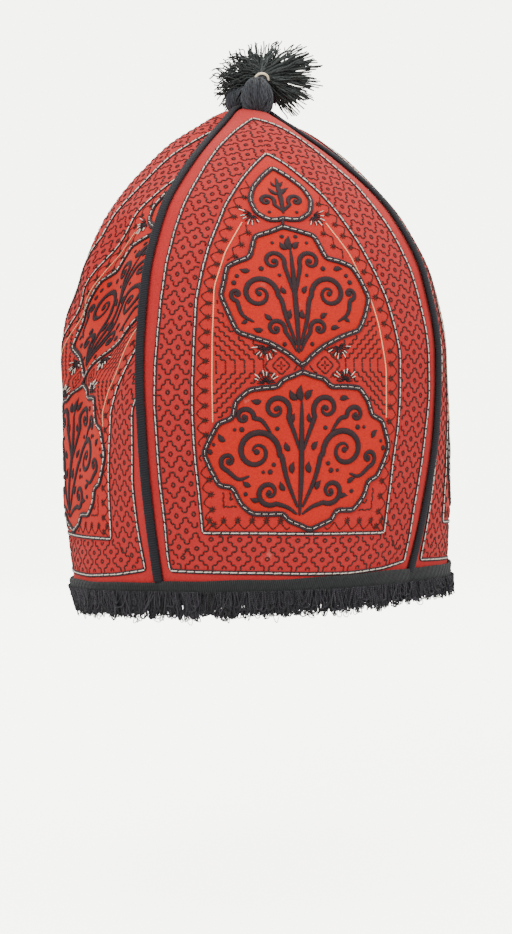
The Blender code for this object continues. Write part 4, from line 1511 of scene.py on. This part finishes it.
def bunched_loops(dice, threads, stand, shorter):
    """A row of loops in uneven bunches."""
    bunches = FRINGE_BUNCHES
    middle = (np.arange(bunches) + dice.uniform(-0.7, 0.7, bunches)) * 4.0 / bunches
    bunch_lean = dice.normal(0.0, 0.24, bunches)
    bunch_shade = dice.uniform(0.0, 0.85, bunches) ** 1.3
    bunch_length = fringe_length(middle % 4.0) - shorter + dice.normal(0.0, 0.8, bunches)
    bunch_curl = dice.uniform(0.5, 1.5, bunches)
    own = np.repeat(np.arange(bunches), LOOPS_PER_BUNCH)
    count = len(own)
    turn = middle[own] + dice.normal(0.0, 0.45, count) / HEM_GORE_WIDTH
    width = dice.uniform(1.6, 3.4, count)
    length = bunch_length[own] + dice.normal(0.0, 0.5, count)
    lean = bunch_lean[own] + dice.normal(0.0, 0.02, count)
    level = stand + dice.uniform(-0.25, 0.25, count)
    radius = dice.uniform(0.2, 0.26, count)
    shade = bunch_shade[own] + dice.uniform(0.0, 0.3, count)
    hanging_loops(dice, threads, turn, width, length, level, lean, bunch_curl[own], radius, shade)


def build_fringe(material):
    """Looped threads in uneven bunches under the header, in front of a denser row."""
    dice = np.random.default_rng(7)
    threads = Threads()
    band, quads, _ = hem_ring(BAND_PROFILE, BAND_COLUMNS, BAND_RIB)
    # Painted shade: the plain band behind the threads is darkened, as the shade deep in the fringe
    threads.add_plain(band, quads, 0.6)
    for row in STRAIGHT_ROWS:
        straight_threads(dice, threads, *row)
    for row in LOOP_ROWS:
        bunched_loops(dice, threads, *row)
    front = 300
    turn = dice.uniform(0.0, 4.0, front)
    hanging_loops(
        dice, threads, turn, dice.uniform(2.6, 5.0, front),
        fringe_length(turn) * dice.uniform(0.5, 1.0, front), dice.uniform(2.6, 3.2, front),
        dice.normal(0.0, 0.3, front), dice.uniform(0.6, 1.5, front), 0.27, dice.uniform(0.0, 0.3, front),
    )
    stray = 90
    turn = dice.uniform(0.0, 4.0, stray)
    length = fringe_length(turn) + dice.uniform(0.2, 2.6, stray)
    hanging_loops(
        dice, threads, turn, dice.uniform(1.5, 4.0, stray), length, np.full(stray, 2.6),
        dice.normal(0.0, 0.16, stray), dice.uniform(0.8, 1.8, stray), 0.19, 0.1,
    )
    piece = threads.piece("hem_fringe_threads")
    dress(piece, material)
    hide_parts("hem_fringe")


def from_tip(places):
    """Places of the tassel from millimetres to the right, to the back and up from the tip."""
    places = np.asarray(places, float)
    cosine, sine = math.cos(TASSEL_TURN), math.sin(TASSEL_TURN)
    x = places[..., 0] * cosine - places[..., 1] * sine
    y = places[..., 0] * sine + places[..., 1] * cosine
    return np.stack((x, y, places[..., 2] + TIP_HEIGHT), axis=-1)


def square_to(way, helper):
    """Two directions square to a way and to each other."""
    one = unit(np.cross(way, helper))
    return one, np.cross(way, one)


def lobe_strands(dice, lobe, count, pole, tight):
    """Strands that run over an egg-shaped lobe, from near a pole to its foot, each with a painted shade that
    is darker where it lies low, in the hollows between locks.
    """
    centre, wide, tall = np.array(lobe[:3]), lobe[3], lobe[4]
    pole = unit(np.array(pole) - centre)
    side, other = square_to(pole, (0.3, 1.0, 0.2))
    turn = np.sort(dice.uniform(0.0, 2.0 * math.pi, count))
    down = np.linspace(tight, 0.97, 15)[None, :] * math.pi
    twist = turn[:, None] + 0.12 * np.sin(down * 1.4 + dice.uniform(0, 6.0, count)[:, None]) + 0.12 * down
    way = (
        np.cos(down)[..., None] * pole
        + (np.sin(down) * np.cos(twist))[..., None] * side
        + (np.sin(down) * np.sin(twist))[..., None] * other
    )
    lock = 0.6 * np.sin(9.0 * turn + 1.0) + 0.4 * np.sin(17.0 * turn)
    rise = lock + dice.uniform(-0.5, 0.5, count)
    out = (1.0 + LOCK_RELIEF * rise)[:, None, None]
    way = way * out * (1.0 - EGG_SHARE * np.cos(down) * np.sin(down))[..., None]
    # Painted shade: each strand is darkened more the lower it lies, in the hollows between the locks
    return centre + way * np.array((wide, wide, tall)), np.clip(0.35 - 0.5 * rise, 0.0, 0.85)


def lobe_core(lobe):
    """The closed egg under a lobe's strands, as its points and quads."""
    centre, wide, tall = np.array(lobe[:3]), lobe[3], lobe[4]
    down = np.linspace(0.02, 0.98, CORE_RINGS)[:, None] * math.pi
    turn = np.arange(CORE_SIDES)[None, :] * 2.0 * math.pi / CORE_SIDES
    x = CORE_REACH * wide * np.sin(down) * np.cos(turn)
    y = CORE_REACH * wide * np.sin(down) * np.sin(turn)
    z = np.broadcast_to(-CORE_REACH * tall * np.cos(down), x.shape)
    points = centre + np.stack((x, y, z), axis=-1).reshape(-1, 3)
    return points, tube_faces(CORE_RINGS, CORE_SIDES, False)[0]


def neck_threads(dice, head, axis, side, other):
    """Threads that run through the tie, from the head into the skirt."""
    count = 90
    turn = dice.uniform(0.0, 2.0 * math.pi, count)
    along = np.linspace(-6.0, 7.0, 9)[None, :]
    waist = NECK_RADIUS - 0.4 + 0.05 * (along * along) * dice.uniform(0.6, 1.0, count)[:, None]
    neck = (
        TIE_FROM_TIP + along[..., None] * axis
        + (waist * np.cos(turn[:, None] + 0.04 * along))[..., None] * side
        + (waist * np.sin(turn[:, None] + 0.04 * along))[..., None] * other
    )
    radius = dice.uniform(0.3, 0.42, count)
    head.add_tubes(from_tip(neck), radius, 5, 2.2, 1.0, dice.uniform(0.0, 0.6, count))


def skirt_lock(dice, skirt, root, swing, lean, length):
    """One lock of the skirt: wavy threads that spread from the neck to the lock's end."""
    swing, lean = math.radians(swing), math.radians(lean)
    way = np.array((math.sin(swing) * math.cos(lean), math.sin(lean), math.cos(swing) * math.cos(lean)))
    one, two = square_to(way, (0.2, 0.5, 1.0))
    steps = np.linspace(0.0, 1.0, 18)
    count = SKIRT_THREADS_PER_LOCK
    turn = dice.uniform(0.0, 2.0 * math.pi, count)[:, None]
    reach = np.sqrt(dice.uniform(0.0, 1.0, count))[:, None]
    own = length * dice.uniform(0.7, 1.02, count)[:, None]
    width = LOCK_ROOT_RADIUS * (1.0 - steps) + LOCK_END_RADIUS * steps
    wave = dice.uniform(0.0, 6.28, count)[:, None]
    curl = (0.25 + 0.8 * steps) * dice.uniform(0.4, 1.1, count)[:, None]
    rate = dice.uniform(10.0, 24.0, count)[:, None]
    sideways = reach * width * np.cos(turn) + curl * np.sin(rate * steps + wave)
    upward = reach * width * np.sin(turn) + curl * np.cos(rate * 0.9 * steps + wave)
    paths = root + (own * steps)[..., None] * way + sideways[..., None] * one + upward[..., None] * two
    paths[..., 2] += -1.6 * (own / 25.0) * steps**2 * dice.uniform(0.2, 1.2, count)[:, None]
    radius = dice.uniform(0.28, 0.42, count)
    skirt.add_tubes(from_tip(paths), radius, 3, 1.4, 0.9, dice.uniform(0.0, 0.7, count))


def tie_path(axis, side, other):
    """The tie's turns round the neck."""
    turns = np.linspace(0.0, 2.0 * math.pi * TIE_TURNS, 40 * TIE_TURNS + 1)
    shift = np.linspace(-0.5 * TIE_WIDTH, 0.5 * TIE_WIDTH, len(turns))
    radius = NECK_RADIUS + TIE_CLEAR
    return (
        TIE_FROM_TIP + shift[:, None] * axis
        + (radius * np.cos(turns))[:, None] * side + (radius * np.sin(turns))[:, None] * other
    )


def build_tassel(head_material, skirt_material, tie_material):
    """Head of bound yarn, fanned skirt and the cream tie between them."""
    dice = np.random.default_rng(11)
    axis = np.array((0.0, math.sin(NECK_LEAN), math.cos(NECK_LEAN)))
    side, other = square_to(axis, (1.0, 0.2, 0.0))
    head, skirt, wound = Threads(), Threads(), Threads()
    for lobe, count, pole, tight in TASSEL_LOBES:
        core, quads = lobe_core(lobe)
        # Painted shade: the egg under the strands is darkened, as the shade that shows between them
        head.add_plain(from_tip(core), quads, 0.7)
        strands, lock_hollow_shade = lobe_strands(dice, lobe, count, pole, tight)
        head.add_tubes(from_tip(strands), dice.uniform(0.26, 0.4, count), 5, 8.0, 1.0, lock_hollow_shade)
    neck_threads(dice, head, axis, side, other)
    for lock in SKIRT_LOCKS:
        skirt_lock(dice, skirt, TIE_FROM_TIP + 0.7 * NECK_HALF_LENGTH * axis, *lock)
    wound.add_tubes(from_tip(tie_path(axis, side, other))[None], 0.55, 8, 1.3, 1.0)
    piece = head.piece("tassel_head")
    dress(piece, head_material)
    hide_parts("tassel")
    dress(skirt.piece("tassel_skirt"), skirt_material)
    piece = wound.piece("tassel_tie_thread")
    dress(piece, tie_material)
    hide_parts("tassel_tie")


def backdrop_paper():
    """Matt pale paper that glows a little."""
    material, tree, shader = new_material("matt_paper_backdrop")
    place = add_node(tree, "ShaderNodeTexCoord").outputs["Object"]
    noise = {"Scale": 6.0, "Detail": 2.0}
    grain = add_node(tree, "ShaderNodeTexNoise", noise, {"Vector": place}).outputs["Fac"]
    colour = add_node(
        tree, "ShaderNodeMix",
        {"data_type": "RGBA", MIX_A: hex_colour("#f4f4f1"), MIX_B: hex_colour("#f1f1ee")},
        {MIX_FACTOR: grain},
    ).outputs[MIX_RESULT]
    tree.links.new(colour, shader.inputs["Base Color"])
    shader.inputs["Roughness"].default_value = 0.9
    shader.inputs["Emission Color"].default_value = hex_colour("#fffff6")
    shader.inputs["Emission Strength"].default_value = 4.9
    return material


def build_stage():
    """A pale floor that curves up into a pale background."""
    turn = np.linspace(0.0, 0.5 * math.pi, 9)
    bend = away((STAGE_RADIUS - STAGE_BEND, STAGE_LEVEL + STAGE_BEND), STAGE_BEND, turn - 0.5 * math.pi)
    floor = [(reach, STAGE_LEVEL) for reach in STAGE_FLOOR]
    profile = np.array((*floor, *bend, (STAGE_RADIUS, STAGE_LEVEL + STAGE_HEIGHT)))
    ring = away((0.0, 0.0), profile[:, :1], np.arange(STAGE_SIDES)[None, :] * 2.0 * math.pi / STAGE_SIDES)
    height = np.broadcast_to(profile[:, 1:], ring.shape[:2])
    points = np.concatenate((ring, height[..., None]), axis=-1).reshape(-1, 3) / MM
    backdrop = mesh_piece("backdrop", points, tube_faces(len(profile), STAGE_SIDES, False))
    backdrop.data.materials.append(backdrop_paper())
    backdrop.visible_diffuse = False
    backdrop.visible_glossy = False


# Backdrop, in metres: the floor's level and rings, the wall's radius and height, and the bend between
STAGE_LEVEL = -0.137
STAGE_FLOOR = (0.0, 0.6, 1.4)
STAGE_RADIUS = 3.2
STAGE_HEIGHT = 3.0
STAGE_BEND = 1.0
STAGE_SIDES = 48

# Camera: level with a height a little above the hem, and rolled so the picture leans to the left
CAMERA_TURN = math.radians(14.3)
CAMERA_DISTANCE = 0.847
CAMERA_HEIGHT = 0.0532
CAMERA_ROLL = 0.0275
CAMERA_LENS = 123.05


def build_camera():
    """The camera at the photograph's viewing angle."""
    look = Vector((math.sin(CAMERA_TURN), math.cos(CAMERA_TURN), 0.0))
    level_right = Vector((math.cos(CAMERA_TURN), -math.sin(CAMERA_TURN), 0.0))
    level_up = Vector((0.0, 0.0, 1.0))
    right = math.cos(CAMERA_ROLL) * level_right - math.sin(CAMERA_ROLL) * level_up
    up = math.cos(CAMERA_ROLL) * level_up + math.sin(CAMERA_ROLL) * level_right
    place = -look * CAMERA_DISTANCE + Vector((0.0, 0.0, CAMERA_HEIGHT))
    data = bpy.data.cameras.new("camera")
    data.lens = CAMERA_LENS
    data.sensor_width = 36.0
    data.sensor_fit = "HORIZONTAL"
    camera = bpy.data.objects.new("camera", data)
    camera.matrix_world = Matrix((
        (right.x, up.x, -look.x, place.x),
        (right.y, up.y, -look.y, place.y),
        (right.z, up.z, -look.z, place.z),
        (0.0, 0.0, 0.0, 1.0),
    ))
    bpy.context.scene.collection.objects.link(camera)
    bpy.context.scene.camera = camera


def area_light(name, place, aim, size, power):
    """A soft square lamp that faces a point."""
    data = bpy.data.lights.new(name, "AREA")
    data.shape = "SQUARE"
    data.size = size
    data.energy = power
    lamp = bpy.data.objects.new(name, data)
    lamp.location = place
    lamp.rotation_euler = (Vector(aim) - Vector(place)).to_track_quat("-Z", "Y").to_euler()
    bpy.context.scene.collection.objects.link(lamp)


def build_lights():
    """Plain soft studio light: an even pale surround and broad lamps from both sides and above."""
    world = bpy.data.worlds.new("studio")
    bpy.context.scene.world = world
    world.use_nodes = True
    background = world.node_tree.nodes["Background"]
    background.inputs["Color"].default_value = (1.0, 1.0, 0.985, 1.0)
    background.inputs["Strength"].default_value = 1.25
    middle = (0.0, 0.0, 0.1)
    area_light("key_lamp", (-1.2, -1.38, 1.3), middle, 1.2, 36.0)
    area_light("fill_lamp", (1.5, -1.1, 0.7), middle, 1.4, 17.0)
    area_light("top_lamp", (0.2, 0.3, 2.0), middle, 1.5, 26.0)
    area_light("back_lamp", (0.2, 1.8, 1.0), middle, 1.4, 18.0)


build_camera()
build_stage()
build_lights()
materials = {
    "wool": felted_wool(),
    "black_cord": twisted_thread("black_wool_cord", "#180b0e", "#38222a", 0.75, 0.04),
    "white_thread": twisted_thread("white_cotton_thread", "#dccdb6", "#fff8ea", 0.7, 0.1),
    "dark_stitch": twisted_thread("dark_wool_stitches", "#2c110e", "#55291f", 0.85, 0.0, 1.0, 0.0001),
    "satin": twisted_thread("black_wool_satin_stitch", "#1a090c", "#331a20", 0.75, 0.0, 2.0, 0.0001),
    "cream_thread": twisted_thread("cream_silk_thread", "#fa9a66", "#ffc894", 0.55, 0.1),
    "braid": twisted_thread("black_wool_braid", "#07070a", "#1b1a22", 0.85, 0.04, 2.0, 0.00015),
    "tape": twisted_thread("charcoal_wool_tape", "#0e100f", "#262928", 0.85, 0.06),
    "fringe": twisted_thread("black_wool_fringe", "#121015", "#413c46", 0.75, 0.12),
    "tassel_head": twisted_thread("blue_black_yarn", "#121317", "#383c43", 0.65, 0.1),
    "tassel_skirt": twisted_thread("green_black_yarn", "#181d1b", "#525c58", 0.75, 0.15),
    "tie": twisted_thread("cream_cotton_thread", "#e3cba0", "#fff1d6", 0.6, 0.1),
}
design = draw_gore()
left_design = draw_gore()
widen_left(left_design)
for gore in range(4):
    build_gore(gore, left_design if gore == LEFT_GORE else design, materials)
build_braids(materials["braid"])
build_hem_tape(materials["tape"])
build_fringe(materials["fringe"])
build_tassel(materials["tassel_head"], materials["tassel_skirt"], materials["tie"])
